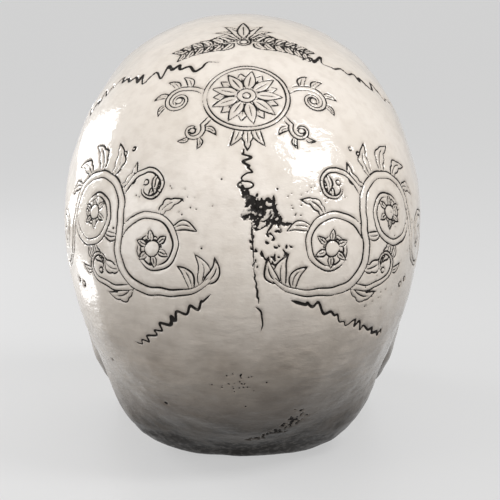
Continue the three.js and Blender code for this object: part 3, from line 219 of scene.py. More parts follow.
def lamp(name, place, size, power, roll=0.0):
    """A flat lamp that faces the head. Roll turns its rectangle, and so its reflection."""
    light = bpy.data.lights.new(name, "AREA")
    light.shape = "RECTANGLE"
    light.size, light.size_y = size
    light.energy = power
    holder = into_scene(name, light)
    holder.location = place
    facing = (head_middle - Vector(place)).to_track_quat("-Z", "Y").to_matrix()
    holder.rotation_euler = (facing @ Matrix.Rotation(math.radians(roll), 3, "Z")).to_euler()
    holder.visible_camera = False


corners = [(x * half_floor, y * half_floor, 0) for x, y in ((-1, -1), (1, -1), (1, 1), (-1, 1))]
floor = into_scene("floor", new_mesh("floor", corners, [(0, 1, 2, 3)]))
floor_paint, tree = new_paint("floor paint")
tree.finish(Base_Color=(0.17, 0.17, 0.17), Roughness=0.5)
glow = tree.add("ShaderNodeEmission", {"Color": (0.50, 0.50, 0.50), "Strength": sight(tree)})
both = tree.add("ShaderNodeAddShader", {0: tree.shader.outputs[0], 1: glow.outputs[0]})
feed(tree.tree.nodes["Material Output"].inputs["Surface"], both.outputs[0])
floor.data.materials.append(floor_paint)

lamp("strip", (0.49, -0.34, 0.25), (0.42, 0.24), 2.6, 45)
lamp("low strip", (0.182, -0.020, 0.026), (0.056, 0.034), 0.025)
lamp("window", (-0.545, 0.365, 0.80), (0.46, 0.32), 6.2, -32)
lamp("side", (1.08, 0.42, 0.34), (0.9, 0.8), 6.5)
lamp("overhead", (0.15, 0.62, 1.25), (1.1, 1.1), 3.7)
lamp("front", (-0.75, 1.8, 0.9), (1.8, 1.8), 9.6)

world = bpy.data.worlds.new("studio")
bpy.context.scene.world = world
world.use_nodes = True
tree = Nodes(world.node_tree)
sky = tree.tree.nodes["Background"]
feed(sky.inputs["Color"], (1, 0.98, 0.96))
feed(sky.inputs["Strength"], 0.15)
backdrop = tree.add("ShaderNodeBackground", {"Color": (0.54, 0.54, 0.54)})
either = tree.add("ShaderNodeMixShader", {0: sight(tree), 1: sky.outputs[0], 2: backdrop.outputs[0]})
feed(tree.tree.nodes["World Output"].inputs["Surface"], either.outputs[0])
print("stage: floor and 6 lamps")

# %% [markdown]
# ## Meshes as arrays
#
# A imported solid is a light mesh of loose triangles. A copy of it is merged, rebuilt by a voxel
# remesh with one even grain, and read into arrays, where whole surfaces can be smoothed, split and
# pushed with a few lines of arithmetic.

# %% From a node to arrays and back
def settle(piece):
    """Turns a piece with modifiers into a plain mesh."""
    bpy.context.view_layer.update()
    seen = piece.evaluated_get(bpy.context.evaluated_depsgraph_get())
    mesh = bpy.data.meshes.new_from_object(seen)
    piece.modifiers.clear()
    piece.data = mesh
    return piece


def dense_copy(node, name, grain):
    """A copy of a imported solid, merged and rebuilt with an even grain."""
    mesh = nodes[node].data.copy()
    shape = bmesh.new()
    shape.from_mesh(mesh)
    bmesh.ops.remove_doubles(shape, verts=shape.verts, dist=1e-6)
    shape.to_mesh(mesh)
    shape.free()
    mesh.materials.clear()
    piece = into_scene(name, mesh)
    remesh = piece.modifiers.new("grain", "REMESH")
    remesh.mode = "VOXEL"
    remesh.voxel_size = grain
    return settle(piece)


def arrays(mesh):
    points = np.empty(len(mesh.vertices) * 3)
    mesh.vertices.foreach_get("co", points)
    mesh.calc_loop_triangles()
    faces = np.empty(len(mesh.loop_triangles) * 3, np.int64)
    mesh.loop_triangles.foreach_get("vertices", faces)
    return points.reshape(-1, 3), faces.reshape(-1, 3)


def write_mesh(piece, points, faces, **marks):
    """Gives a piece these points and triangles, with one named number for each point."""
    piece.data = new_mesh(piece.name, points, faces, smooth=True)
    for name, values in marks.items():
        store(piece.data, name, values)


def edges_of(faces):
    pairs = np.sort(np.concatenate([faces[:, [0, 1]], faces[:, [1, 2]], faces[:, [2, 0]]]), 1)
    keys = np.unique(pairs[:, 0] * (faces.max() + 1) + pairs[:, 1])
    return np.stack(np.divmod(keys, faces.max() + 1), 1)


def unit(vectors):
    return vectors / np.linalg.norm(vectors, axis=-1, keepdims=True)


def normals_of(points, faces):
    a, b, c = (points[faces[:, i]] for i in range(3))
    cross = np.cross(b - a, c - a)
    total = np.zeros_like(points)
    for corner in range(3):
        for k in range(3):
            total[:, k] += np.bincount(faces[:, corner], cross[:, k], len(points))
    return total / np.maximum(np.linalg.norm(total, axis=1), 1e-15)[:, None]


def ray_tree(points, faces):
    return BVHTree.FromPolygons(points.tolist(), faces.tolist())


def near_tree(points):
    tree = KDTree(len(points))
    for i, point in enumerate(points):
        tree.insert(point, i)
    tree.balance()
    return tree


def ease(value, low, high):
    """0 below low, 1 above high, and a soft step between. It also runs backwards."""
    t = np.clip((value - low) / (high - low), 0, 1)
    return t * t * (3 - 2 * t)


# %% Smoothing that keeps the volume
def neighbours_mean(points, edges):
    a, b = edges.T
    count = np.bincount(a, minlength=len(points)) + np.bincount(b, minlength=len(points))
    columns = [np.bincount(a, points[b, k], len(points)) + np.bincount(b, points[a, k], len(points))
               for k in range(points.shape[1])]
    return np.stack(columns, 1) / np.maximum(count, 1)[:, None]


def even_out(points, edges, rounds, share=1.0):
    share = np.broadcast_to(np.asarray(share, float), len(points))[:, None]
    for turn in range(rounds * 2):
        pull = -0.52 if turn % 2 else 0.5
        points = points + pull * share * (neighbours_mean(points, edges) - points)
    return points


# %% Splitting edges where detail is wanted
def split_long(points, faces, longest_at):
    """Halves each edge that is longer than longest_at(its middle), on the curved surface."""
    normals = normals_of(points, faces)
    a, b = edges_of(faces).T
    span = points[b] - points[a]
    centre = (points[a] + points[b]) / 2
    long = np.linalg.norm(span, axis=1) > longest_at(centre)
    if not long.any():
        return points, faces, False
    a, b, span, centre = a[long], b[long], span[long], centre[long]
    bow_a = (span * normals[a]).sum(1)[:, None] * normals[a]
    bow_b = (-span * normals[b]).sum(1)[:, None] * normals[b]
    fresh = centre - (bow_a + bow_b) / 8
    size = len(points) + 1
    order = np.argsort(a * size + b)
    keys = (a * size + b)[order]
    number = len(points) + order
    corners = []
    for i in range(3):
        ends = np.sort(faces[:, [i, (i + 1) % 3]], 1)
        key = ends[:, 0] * size + ends[:, 1]
        spot = np.clip(np.searchsorted(keys, key), 0, len(keys) - 1)
        corners.append(np.where(keys[spot] == key, number[spot], -1))
    mids = np.stack(corners, 1)
    split = (mids >= 0).sum(1)
    made = [faces[split == 0]]
    for turn in range(3):
        (f0, f1, f2), (m0, m1, m2) = np.roll(faces, -turn, 1).T, np.roll(mids, -turn, 1).T
        one, two = (split == 1) & (m0 >= 0), (split == 2) & (m2 < 0)
        for chosen, triangles in ((one, ((f0, m0, f2), (m0, f1, f2))),
                                  (two, ((m0, f1, m1), (f0, m0, m1), (f0, m1, f2)))):
            made += [np.stack(triangle, 1)[chosen] for triangle in triangles]
    f, m = faces[split == 3], mids[split == 3]
    made += [np.stack([f[:, i], m[:, i], m[:, i - 1]], 1) for i in range(3)] + [m]
    return np.concatenate([points, fresh]), np.concatenate(made), True


print("helpers ready")

# %% [markdown]
# ## The bare head
#
# A casting like this starts as clay, so its surface is even at arm's length and lumpy close by. The
# voxel remesh gives a grain of two millimetres. The braincase is then smoothed hard, so that no
# facet of the solid is left, and the face and the base lightly, so that their edges stay.

# %% Remesh and smooth the cranium
head_grain = 2.2 * mm
brain_middle = np.array([0, 30, 82]) * mm
smooth_rounds = 26
hollow_grain_share = 0.1  # how much of its grain the unseen inside of the braincase keeps


def thin_hollow(piece):
    """Folds up most of the skin that can be seen from the middle of the hollow."""
    points, faces = arrays(piece.data)
    tree = ray_tree(points, faces)
    normals = normals_of(points, faces)
    inward = ((brain_middle - points) * normals).sum(1) > 0.02
    seen = []
    for i in np.flatnonzero(inward):
        start = Vector(points[i] + normals[i] * 0.0005)
        way = Vector(brain_middle) - start
        if tree.ray_cast(start, way, way.length)[0] is None:
            seen.append(int(i))
    piece.vertex_groups.new(name="hollow").add(seen, 1.0, "REPLACE")
    fold = piece.modifiers.new("fold", "DECIMATE")
    fold.vertex_group = "hollow"
    fold.ratio = 1 - (1 - hollow_grain_share) * len(seen) / len(points)
    return settle(piece)


def braincase_share(points):
    """1 on the round braincase, 0 on the face and the base."""
    x, y, z = (points / mm).T
    behind_face = ease(y * 0.85 + z * 0.52, 12, 45)
    above_base = ease(z * 0.75 + y * 0.66, 42, 62)
    return behind_face * above_base


cranium = thin_hollow(dense_copy("cranium", "cranium_bone", head_grain))
head_points, head_faces = arrays(cranium.data)
head_edges = edges_of(head_faces)
ground = head_points[:, 2] < 0.6 * mm
upper_face = ease(head_points[:, 2], 66 * mm, 84 * mm) * ease(head_points[:, 1], 10 * mm, -25 * mm)
smoothed = head_points
for rounds, share in ((3, 1.0), (6, upper_face), (smooth_rounds, braincase_share(head_points))):
    smoothed = even_out(smoothed, head_edges, rounds, share)
smoothed[ground, 2] = head_points[ground, 2]
head_points = smoothed
print("cranium with a coarse hollow:", len(head_faces), "triangles")

# %% [markdown]
# ## Marks are drawn in head angles
#
# Each engraved line is drawn flat, in millimetres, on a small sheet that touches the head, or along
# a path given by two angles: the turn from the middle of the back, and the rise above the level of
# the braincase's middle. A ray from outside then lays every point on the bone.

# %% Laying points on the bone
sheet_radius = 86.0
rng = np.random.default_rng(7)
marks = []


def polar(angle):
    return np.array([math.cos(angle), math.sin(angle)])


def direction(turn, rise):
    turn, rise = np.radians(turn), np.radians(rise)
    return np.stack([np.sin(turn) * np.cos(rise), np.cos(turn) * np.cos(rise), np.sin(rise)], -1)


def on_sheet(points, turn, rise):
    """Flat points in mm, on a sheet that touches the head at these angles, as directions."""
    axis = direction(turn, rise)
    across = np.array([math.cos(math.radians(turn)), -math.sin(math.radians(turn)), 0])
    upward = np.cross(across, axis)
    x, y = np.asarray(points, float).T
    return unit(axis * sheet_radius + across * x[:, None] + upward * y[:, None])


def resample(points, step):
    points = np.asarray(points, float)
    run = np.concatenate([[0], np.cumsum(np.linalg.norm(np.diff(points, axis=0), axis=1))])
    at = np.linspace(0, run[-1], max(2, int(run[-1] / step) + 1))
    return np.stack([np.interp(at, run, column) for column in points.T], 1)


def through(points):
    """A smooth curve through a few points."""
    p = np.asarray(points, float)
    p = np.concatenate([2 * p[:1] - p[1:2], p, 2 * p[-1:] - p[-2:-1]])
    t = np.linspace(0, 1, 12, endpoint=False)[:, None]
    made = [0.5 * (2 * b + (c - a) * t + (2 * a - 5 * b + 4 * c - d) * t**2 + (3 * b - a - 3 * c + d) * t**3)
            for a, b, c, d in zip(p, p[1:], p[2:], p[3:])]
    return np.concatenate(made + [p[-2][None]])


def engrave(directions, half_width, taper=0.12, waver=0.18):
    """Adds one line. Its width breathes a little, and thins out at both ends."""
    line = resample(unit(directions) * sheet_radius, 0.16)
    along = np.linspace(0, 1, len(line))
    phase = rng.uniform(0, 6.3, 2)
    slow, fast = (np.sin(along * len(line) * rate + start) for rate, start in zip((0.02, 0.057), phase))
    width = half_width * (1 + waver * slow + waver * 0.6 * fast)
    if taper:
        width = width * (0.45 + 0.55 * ease(along, 0, taper) * ease(1 - along, 0, taper))
    marks.append((unit(line), width))


# %% [markdown]
# ## The sutures
#
# The seams between the plates of the skull run as restless zigzags. A path gives where a seam
# goes. Its teeth are random steps to the left and right with a fixed seed, joined by a smooth curve,
# which gives the doubled-back loops of a real seam.

# %% Sutures
# Each kind has its reach, step and half width in mm, and its paths as (turn, rise) in degrees.
sutures = {
    "coronal": (3.6, 2.6, 0.52, [
        [(12, 55.5), (19, 54.5), (28, 53), (38, 50.5), (46, 48.5), (57, 48.4), (74, 39), (87, 28),
         (99, 17), (107, 10.7)],
        [(-32, 58.4), (-40, 57.8), (-50, 53.2), (-62, 49.2), (-77, 40), (-89, 29), (-99, 17.7), (-108, 11)]]),
    "sagittal": (1.6, 1.25, 0.34, [[(-1.4, 27), (-1.3, 22), (-1.0, 18.5)]]),
    "lambdoid": (1.35, 1.9, 0.46, [
        [(6.5, -8), (9.6, -9.4), (16.8, -13.2), (21.8, -16.8), (27.4, -20.5)],
        [(-11.5, -8.4), (-17, -10.6), (-23.1, -14), (-30, -17.4), (-40, -22)]]),
    "squamous": (0.6, 2.8, 0.3, [
        [(105, 10), (96, 14.5), (87, 15.5), (73, 10.7), (65, -2), (60, -16.7), (58, -28)],
        [(-105, 10), (-96, 14.2), (-87, 15.7), (-73, 10.9), (-65, -2.5), (-60, -17), (-58, -28)]]),
}


def zigzag(path, reach, step):
    centre = resample(through(direction(*np.array(path, float).T) * sheet_radius), step)
    forward = unit(np.gradient(centre, axis=0))
    side = np.cross(forward, centre / sheet_radius)
    n = len(centre)
    swing = np.where(rng.random(n) < 0.75, (-1.0) ** np.arange(n), 1)
    swing = swing * rng.uniform(0.05, 1.3, n) ** 1.3 * reach
    swing += np.cumsum(rng.normal(size=n)) * 0.12 * reach
    lead = rng.uniform(-0.6, 0.6, n) * step
    return through(centre + side * swing[:, None] + forward * lead[:, None])


for reach, step, half_width, paths in sutures.values():
    for path in paths:
        engrave(zigzag(path, reach, step), half_width, taper=0.03, waver=0.28)
seam = [(-2.2, 9), (-2.4, 4), (-2.6, 0), (-3.2, -6), (-3.6, -9)]
engrave(zigzag(seam, 0.2, 1.3), 0.4, taper=0.1, waver=0.4)
engrave(zigzag([(-3.4, -10), (-4.6, -12.5), (-4.2, -15)], 0.3, 1.6), 0.24, waver=0.4)
print("sutures and seam:", len(marks), "lines,", sum(len(m[1]) for m in marks), "points")

# %% [markdown]
# ## The ornament
#
# The engraving is a plain scroll ornament of the sort that carvers have used for centuries: a
# rosette with side scrolls on the crown, a laurel band above it, and a running scroll on each side.
# Every form comes from a rule. A scroll is a logarithmic spiral drawn as a band with two edges, a
# leaf is two arcs and a midrib. Forms are laid from the top down, and each one hides what lies
# under it, as on a real carving, so no two lines cross.

# %% Bands, leaves and rings
def arc(centre, radius, start, end, end_radius=None):
    """Part of a circle, or of a spiral where the radius changes. Angles are in degrees."""
    t = np.linspace(0, 1, max(8, int(abs(end - start) / 6)))
    r = radius * ((end_radius or radius) / radius) ** t
    a = np.radians(start + (end - start) * t)
    return np.asarray(centre) + r[:, None] * np.stack([np.cos(a), np.sin(a)], 1)


def band(path, breadth):
    """A band's outline and its two edges."""
    path = resample(path, 0.5)
    ahead = unit(np.gradient(path, axis=0))
    side = np.stack([-ahead[:, 1], ahead[:, 0]], 1)
    half = np.interp(np.linspace(0, 1, len(path)), np.linspace(0, 1, len(breadth)), breadth)[:, None] / 2
    left, right = path + side * half, path - side * half
    return np.concatenate([left, right[::-1]]), [left, right]


def leaf(root, tip, bulge, lean=0.0, lobes=0):
    """The outline, edges and midrib of a pointed leaf. Lobes notch its edges."""
    root, tip = np.array(root, float), np.array(tip, float)
    span = tip - root
    side = np.array([-span[1], span[0]])
    t = np.linspace(0, 1, 36)[:, None]
    hump = np.sin(math.pi * t**0.8) * (1 - 0.25 * t) * bulge
    if lobes:
        hump = hump * (0.66 + 0.4 * np.abs(np.sin(lobes * math.pi * t**0.9)) ** 0.7)
    midrib = root + span * t + lean * np.sin(math.pi * t) * side
    left, right = midrib + side * hump, midrib - side * hump
    return np.concatenate([left, right[::-1]]), [left, right, midrib[4:26]]


def disc(centre, radius):
    outline = arc(centre, radius, 0, 360)
    return outline, [outline]


def around(path, at, length, tilt, lean=0.12, lobes=0, bulge=0.2):
    """A leaf that grows from a band's middle line, turned by tilt degrees from its direction."""
    spot = int(at * (len(path) - 1))
    ahead = path[min(spot + 1, len(path) - 1)] - path[max(spot - 1, 0)]
    a = math.atan2(ahead[1], ahead[0]) + math.radians(tilt)
    return leaf(path[spot], path[spot] + length * polar(a), bulge, lean * np.sign(tilt), lobes)


def uncovered(line, covers):
    """The runs of a line that no cover hides."""
    line = resample(line, 0.25)
    keep = np.ones(len(line), bool)
    x, y = line[:, 0][:, None], line[:, 1][:, None]
    for cover in covers:
        (ax, ay), (bx, by) = cover.T, np.roll(cover, -1, 0).T
        rising = (ay > y) != (by > y)
        crossing = rising & (x < (bx - ax) * (y - ay) / np.where(by == ay, 1, by - ay) + ax)
        keep &= crossing.sum(1) % 2 == 0
    ends = np.flatnonzero(np.diff(np.concatenate([[0], keep, [0]])))
    return [line[a:b] for a, b in zip(ends[::2], ends[1::2]) if b - a > 3]


def carve_forms(forms, lay, half_width):
    """Lays forms from the top down. Each is cut where an earlier one hides it."""
    covers = []
    for outline, lines in forms:
        for line, share in zip(lines, (1, 0.85, 0.7)):
            for run in uncovered(line, covers):
                engrave(lay(run), half_width * share, taper=0.1 if len(run) > 30 else 0.25)
        covers.append(outline)


def wrapped(points, turn, rise, side):
    """Flat points in mm, wrapped round the head from these angles, with a slightly unsteady hand."""
    hand = 0.12 * np.stack([np.sin(points[:, 1] * 0.9 + side), np.cos(points[:, 0] * 0.8 - side)], 1)
    x, y = (points + hand).T
    return direction(side * (turn + np.degrees(x / sheet_radius)), rise + np.degrees(y / sheet_radius))


# %% The rosette on the crown
rosette_at = (-1.5, 43)
rosette_scale = 1.06
petals = 9
rosette = [disc((0, 0), 1.4), disc((0, 0), 3.4)]
for shift, tip, bulge in ((0.5, 13.4, 0.23), (1, 12.2, 0.3)):
    for i in range(petals):
        out = polar(2 * math.pi * (i + shift) / petals)
        rosette.append(leaf(out * 3.0, out * tip, bulge))
rosette += [disc((0, 0), 14.4), disc((0, 0), 16.0)]
upper = np.concatenate([through([(14, 2), (18.5, 5.5), (24, 7)])[:-1], arc((25.5, 0.8), 6.3, 98, -420, 1.7)])
lower = np.concatenate([through([(12, -8), (15.5, -12.2)])[:-1], arc((19.8, -14.6), 4.4, 150, 540, 1.3)])
group = [disc((25.5, 0.8), 1.5), disc((19.8, -14.6), 1.2)]
group += [band(upper, [2.2, 2.0, 1.5, 0.9]), band(lower, [1.8, 1.6, 0.8])]
group += [around(upper, 0.16 + 0.075 * k, 8.5 - 0.6 * k, 52, 0.16) for k in range(4)]
group += [around(lower, 0.2 + 0.14 * k, 6.2 - 0.5 * k, -50, 0.16) for k in range(3)]
for flip in ([-1, 1], [1, 1]):
    rosette += [(outline * flip, [line * flip for line in lines]) for outline, lines in group]
rosette += [leaf((0, -14), (0, -24.5), 0.2, 0, 3), leaf((-2.5, -13), (-6.5, -22.5), 0.18, 0.1),
            leaf((2.5, -13), (6.5, -22.5), 0.18, -0.1)]
carve_forms(rosette, lambda line: on_sheet(line * rosette_scale, *rosette_at), 0.29)
print("rosette:", len(marks), "lines so far")

# %% The laurel band above the rosette
laurel = resample(through([(-28, -1.4), (-17, 1.0), (0, 1.8), (17, 1.0), (28, -1.4)]), 0.4)
forms = [disc((0, 1.8), 1.6), disc((0, 1.8), 2.8)]
for tilt in (90, 64, 116, 40, 140, 18, 162):
    out = polar(math.radians(tilt))
    tip = out * (21 - abs(tilt - 90) * 0.1) + [0, 3]
    forms.append(leaf(out * 3 + [0, 2.2], tip, 0.15, 0.004 * (90 - tilt)))
forms.append(band(laurel, [0.4, 1.3, 1.3, 1.3, 0.4]))
for k in range(6):
    for flip in (-1, 1):
        at = 0.5 + flip * (0.075 + 0.075 * k)
        at = at if flip > 0 else 1 - at
        forms += [around(laurel[::flip], at, 8.0 - 0.25 * k, tilt, 0.14, bulge=0.24) for tilt in (44, -44)]
carve_forms(forms, lambda line: on_sheet(line, -1, 65), 0.38)
print("with the laurel band:", len(marks), "lines so far")

# %% The running scrolls on the sides
scroll_at = (-3, 1)
scroll_scale = 1.12
first, second, third = np.array([32, 2]), np.array([58, 11.5]), np.array([83, 1.5])
running = np.concatenate([through([(13.5, -6.5), (18, -9.6), (24, -11)])[:-1], arc(first, 13, 262, 380),
                          arc(second, 13, 197, 8), arc(third, 11.5, 160, 330)])
running = resample(through(resample(running, 4)), 0.4)
curls = [arc(first, 12.6, 12, 540, 2.6), arc(second, 12.6, -12, -540, 2.6), arc(third, 10.8, 330, 830, 2.4)]
tendrils = [np.concatenate([through([eye + step for step in steps])[:-1], arc(eye + middle, *turn)])
            for eye, steps, middle, turn in (
                (first, ([5.5, -12], [13, -13.5], [19, -12.5]), [21, -6.8], (5.2, -92, 250, 2.1)),
                (second, ([-11.5, 6], [-16, 13], [-21, 15.5]), [-22.5, 9.5], (5.8, 80, 400, 2.3)))]
scroll = [disc(eye, 2.5) for eye in (first, second, third)]
scroll += [leaf(eye + 2.2 * polar(a), eye + 6 * polar(a), 0.3)
           for eye in (first, second) for a in np.radians(np.arange(0, 360, 60) + 20)]
scroll += [disc(path[-1], 0.9) for path in tendrils]
scroll.append(band(running, [1.2, 2.6, 2.6, 2.6, 2.4, 1.8, 1.0]))
scroll += [band(path, [2.3, 2.0, 1.5, 0.9]) for path in curls]
scroll += [band(path, [1.8, 1.7, 1.3, 0.7]) for path in tendrils]
# Leaves: a path, their lean and lobes, and for each its place, length and tilt.
for path, lean, lobes, rows in (
        (running, 0.2, 3, ((0.20, 12, -48), (0.25, 11, -34), (0.45, 11, 66), (0.495, 13, 58), (0.54, 14, 50),
                           (0.585, 12.5, 42), (0.63, 10, 34))),
        (curls[0], 0.16, 3, ((0.17, 10, -52),)), (curls[0], 0.16, 0, ((0.23, 8.5, -48),)),
        (curls[1], 0.16, 3, ((0.17, 10, 52),)), (curls[1], 0.16, 0, ((0.23, 8, 46),)),
        (running, 0.2, 0, ((0.02, 9, 150), (0.03, 10, 112), (0.05, 8.5, 74))),
        (tendrils[0], 0.12, 0, ((0.42, 6.5, -50), (0.52, 6, -44))),
        (tendrils[1], 0.12, 0, ((0.4, 7, 50), (0.5, 6.5, 46)))):
    scroll += [around(path, *row, lean, lobes) for row in rows]
scroll += [disc(second + [-8.5, 20.5], 0.9), disc(second + [-11.8, 22.6], 0.7),
           disc(first + [33, -16], 0.9), disc(first + [36.5, -15], 0.7)]
for side in (-1, 1):
    carve_forms(scroll, lambda line: wrapped(line * scroll_scale, *scroll_at, side), 0.32)
print("with the scrolls:", len(marks), "lines,", round(sum(len(m[1]) for m in marks) * 0.16 / 1000, 2), "m")

# %% [markdown]
# ## Specks and pits
#
# Beside the lines lie loose dots, made with the tip of the tool, and pits where air bubbles broke
# open. Each is a mark with no length. Their clusters stand where the photograph has them.

# %% Specks and broken strokes
def specks(turn, rise, spread_turn, spread_rise, count, least, most):
    for _ in range(count):
        at = direction(turn + rng.normal() * spread_turn, rise + rng.normal() * spread_rise)
        marks.append((at[None], np.array([rng.uniform(least, most)])))


def strokes_near(path, spread, count, lengths, half_widths, lie):
    """Short broken strokes scattered about a path. Lie is their usual slant in degrees."""
    path = resample(path, 0.2)
    for _ in range(count):
        centre = path[rng.integers(len(path))] + rng.normal(size=2) * spread
        a = math.radians(lie + rng.normal() * 38)
        span = rng.uniform(*lengths) / 2 * polar(a) / 1.5
        bend = rng.normal() * 0.25 * np.array([-span[1], span[0]])
        line = through([centre - span, centre + bend, centre + span])
        engrave(direction(*line.T), rng.uniform(*half_widths), taper=0.3, waver=0.3)


for side in (-1, 1):
    specks(side * 21.5, 15.5, 2.6, 1.4, 14, 0.2, 0.34)
    specks(side * 12, 12.5, 1.8, 1.6, 9, 0.2, 0.34)
specks(-47, 7, 4, 5, 26, 0.22, 0.36)
specks(-36, -9, 3, 2.5, 14, 0.22, 0.36)
specks(1.2, -28.4, 3.8, 1.8, 22, 0.2, 0.36)
specks(-17.5, -43, 1.8, 1.6, 12, 0.3, 0.6)
for row in (
        # the blackened break in the middle, from the top down
        ([(-0.6, 16.2), (-1.8, 14.4), (-3.4, 12.6)], (0.6, 0.5), 20, (1.4, 4.6), (0.4, 0.85), -50),
        ([(-3.4, 13.2), (-6.4, 12.0), (-8.8, 9.4)], (1.3, 0.9), 20, (1.6, 6.0), (0.4, 0.85), -38),
        ([(-2.0, 10.6), (-5.0, 8.6), (-8.4, 8.2)], (1.4, 0.8), 16, (1.4, 5.0), (0.35, 0.8), -14),
        ([(-3.6, 8), (-5.6, 6.2), (-8.4, 6.8)], (1.2, 0.9), 10, (1.0, 3.2), (0.3, 0.6), 22),
        ([(-5.2, 3.5), (-7.4, 1), (-10.5, 2.5)], (1.3, 1.5), 16, (0.6, 2.6), (0.28, 0.5), 30),
        ([(-2.4, 4), (-2.9, -3.4)], (0.4, 1.2), 9, (0.6, 2.2), (0.3, 0.5), 70),
        # the rough patches low on the back
        ([(-17.5, -41.5), (-19, -44), (-15, -45.5)], (1.3, 1.2), 12, (0.6, 2.6), (0.4, 0.9), 24),
        ([(-15, -45.5), (-10, -48), (-5, -51)], (1.6, 1.2), 22, (0.6, 2.8), (0.3, 0.8), 20),
        ([(0, -27), (3, -29.5)], (1.6, 1.3), 4, (0.6, 1.4), (0.2, 0.3), 60)):
    strokes_near(*row)
engrave(direction(*np.array([(-0.9, 17.6)]).T + arc((0, 0), 1, 0, 360).T * [[1.9], [0.9]]), 0.42, taper=0)
for turn, rise, half_width in ((32.4, 6.3, 0.5), (40.5, -29.7, 0.7), (22.9, -38.1, 0.8), (5, 19, 0.4),
                               (9, 3, 0.4), (-8.6, 16.6, 0.45)):
    marks.append((direction(turn, rise)[None], np.array([half_width])))

mark_rays = np.concatenate([m[0] for m in marks])
mark_widths = np.concatenate([m[1] for m in marks]) * mm


def lay_marks(points, faces):
    """Where each mark meets a skin, seen from outside towards the middle of the head."""
    tree = ray_tree(points, faces)
    return np.array([tree.ray_cast(Vector(brain_middle + ray * 0.2), Vector(-ray))[0] for ray in mark_rays])


mark_points = lay_marks(head_points, head_faces)
print("marks on the bone:", len(mark_points), "points")

# %% [markdown]
# ## Fine grain only where it is needed
#
# A line half a millimetre wide needs edges of a third of a millimetre. The whole head at that grain
# would be millions of faces, so only edges close to a mark are halved, again and again, on the
# curved surface. The rest keeps its two millimetres.

# %% Split the skin beside the marks
mark_tree = near_tree(mark_points)
blotch_middle = brain_middle + direction(-5.5, 10.5) * 88 * mm
blotch_half = np.array([11, 7, 13]) * mm


def wanted(centre):
    away = np.array([mark_tree.find(p)[2] for p in centre])
    grain = 0.52 * mm + 1.2 * np.maximum(0, away - 0.3 * mm) + 3 * np.maximum(0, away - 1.9 * mm)
    in_blotch = np.linalg.norm((centre - blotch_middle) / blotch_half, axis=1) < 1
    return np.where(in_blotch, np.minimum(grain, 1.0 * mm), grain)


for turn in range(5):
    head_points, head_faces, more = split_long(head_points, head_faces, wanted)
    print("split", turn + 1, "gives", len(head_faces), "triangles")
    if not more:
        break

# %% [markdown]
# ## Lumps, strokes and the chipped patch
#
# Three sizes of unevenness make the clay look worked by hand: slow lumps a couple of centimetres
# across, fine strokes that run sideways low on the back, and a patch at the middle where the
# surface broke away and dirt filled the break. A mould seam runs down from it, and the bone on one
# side of the seam stands a little lower.

# %% Push the skin
lump_height = 0.45 * mm
stroke_height = 0.34 * mm
chip_depth = 0.5 * mm
seam_drop = 0.35 * mm
seam_path = resample(through([(-2.3, 13), (-2.6, 6), (-3.0, 0), (-3.5, -8), (-3.2, -13)]), 0.05)


def noise_at(points, scale, seed=0.0, detail=1):
    """Soft random values of about -1 to 1, one for each point. The scale is one lump's size in mm."""
    sized = points / (np.asarray(scale, float) * mm) + seed
    if detail == 1:
        return np.array([noise.noise(p) for p in sized])
    return np.array([noise.fractal(p, 1.0, 2.0, detail) for p in sized])


head_normals = normals_of(head_points, head_faces)
hollow_skin = ((brain_middle - head_points) * head_normals).sum(1) > 0.03
outside = 1.0 - hollow_skin
round_share = braincase_share(head_points) * outside
lumps = noise_at(head_points, 24, 3.1) + 0.45 * noise_at(head_points, 10, 7.7)
low_back = ease(head_points[:, 2], 75 * mm, 30 * mm) * ease(head_points[:, 1], 20 * mm, 60 * mm)
strokes = noise_at(head_points, (11, 11, 3), 1.3)
push = outside * (0.35 + 0.65 * round_share) * lump_height * lumps
push += outside * stroke_height * strokes * (0.25 + 0.75 * low_back)

x, y, z = ((head_points - blotch_middle) / blotch_half).T
near_blotch = np.linalg.norm(np.stack([x * 0.8 + z * 0.62, y, z * 0.8 - x * 0.25], 1), axis=1)
broken = noise_at(head_points, 4.5, 5.5, 3) * 1.1 + noise_at(head_points, (1.0, 2.5, 1.8), 2.2) * 0.35
chip = ease(1.0 - near_blotch + 0.9 * broken, 0.8, 0.95) * outside
push -= chip_depth * chip * (0.7 + 0.5 * noise_at(head_points, 1.6, 9.1))

seam_tree = near_tree(brain_middle + direction(*seam_path.T) * 90 * mm)
found = [seam_tree.find(p) for p in head_points]
seam_away = np.array([f[2] for f in found])
seam_side = head_points[:, 0] - np.array([f[0][0] for f in found])
right_of_seam = ease(seam_side, 0.5 * mm, -0.5 * mm) * ease(seam_away, 11 * mm, 2 * mm)
push -= seam_drop * right_of_seam * outside
head_points = head_points + head_normals * push[:, None]
head_points[:, 2] = np.maximum(head_points[:, 2], 0)
mark_points = lay_marks(head_points, head_faces)

# %% [markdown]
# ## Where the dark wash and the painted shade go
#
# The maker brushed thinned dark paint over the whole casting and wiped it off. It stayed in every
# small hollow. How hollow a small spot is comes from how far the surface lies below its own smoothed
# copy. Large hollows, such as the eye sockets, get painted shade: how sheltered a spot is comes from
# rays that start on it and meet another part of the skull. Dark grit on the rim also paints the
# contact shadow where the back meets the floor.

# %% Measure hollows, painted shade, grit and painted contact shadow
ray_count = 40
ray_reach = 32 * mm
solid_points, solid_faces, counted = [], [], 0
for name in ("cranium", "mandible", "upper_teeth", "lower_teeth"):
    points, faces = arrays(nodes[name].data)
    solid_points.append(points)
    solid_faces.append(faces + counted)
    counted += len(points)
solid_tree = ray_tree(np.concatenate(solid_points), np.concatenate(solid_faces))


def hollows(points, faces, rounds):
    edges = edges_of(faces)
    soft = points
    for _ in range(rounds):
        soft = soft + 0.6 * (neighbours_mean(soft, edges) - soft)
    return ((soft - points) * normals_of(points, faces)).sum(1)


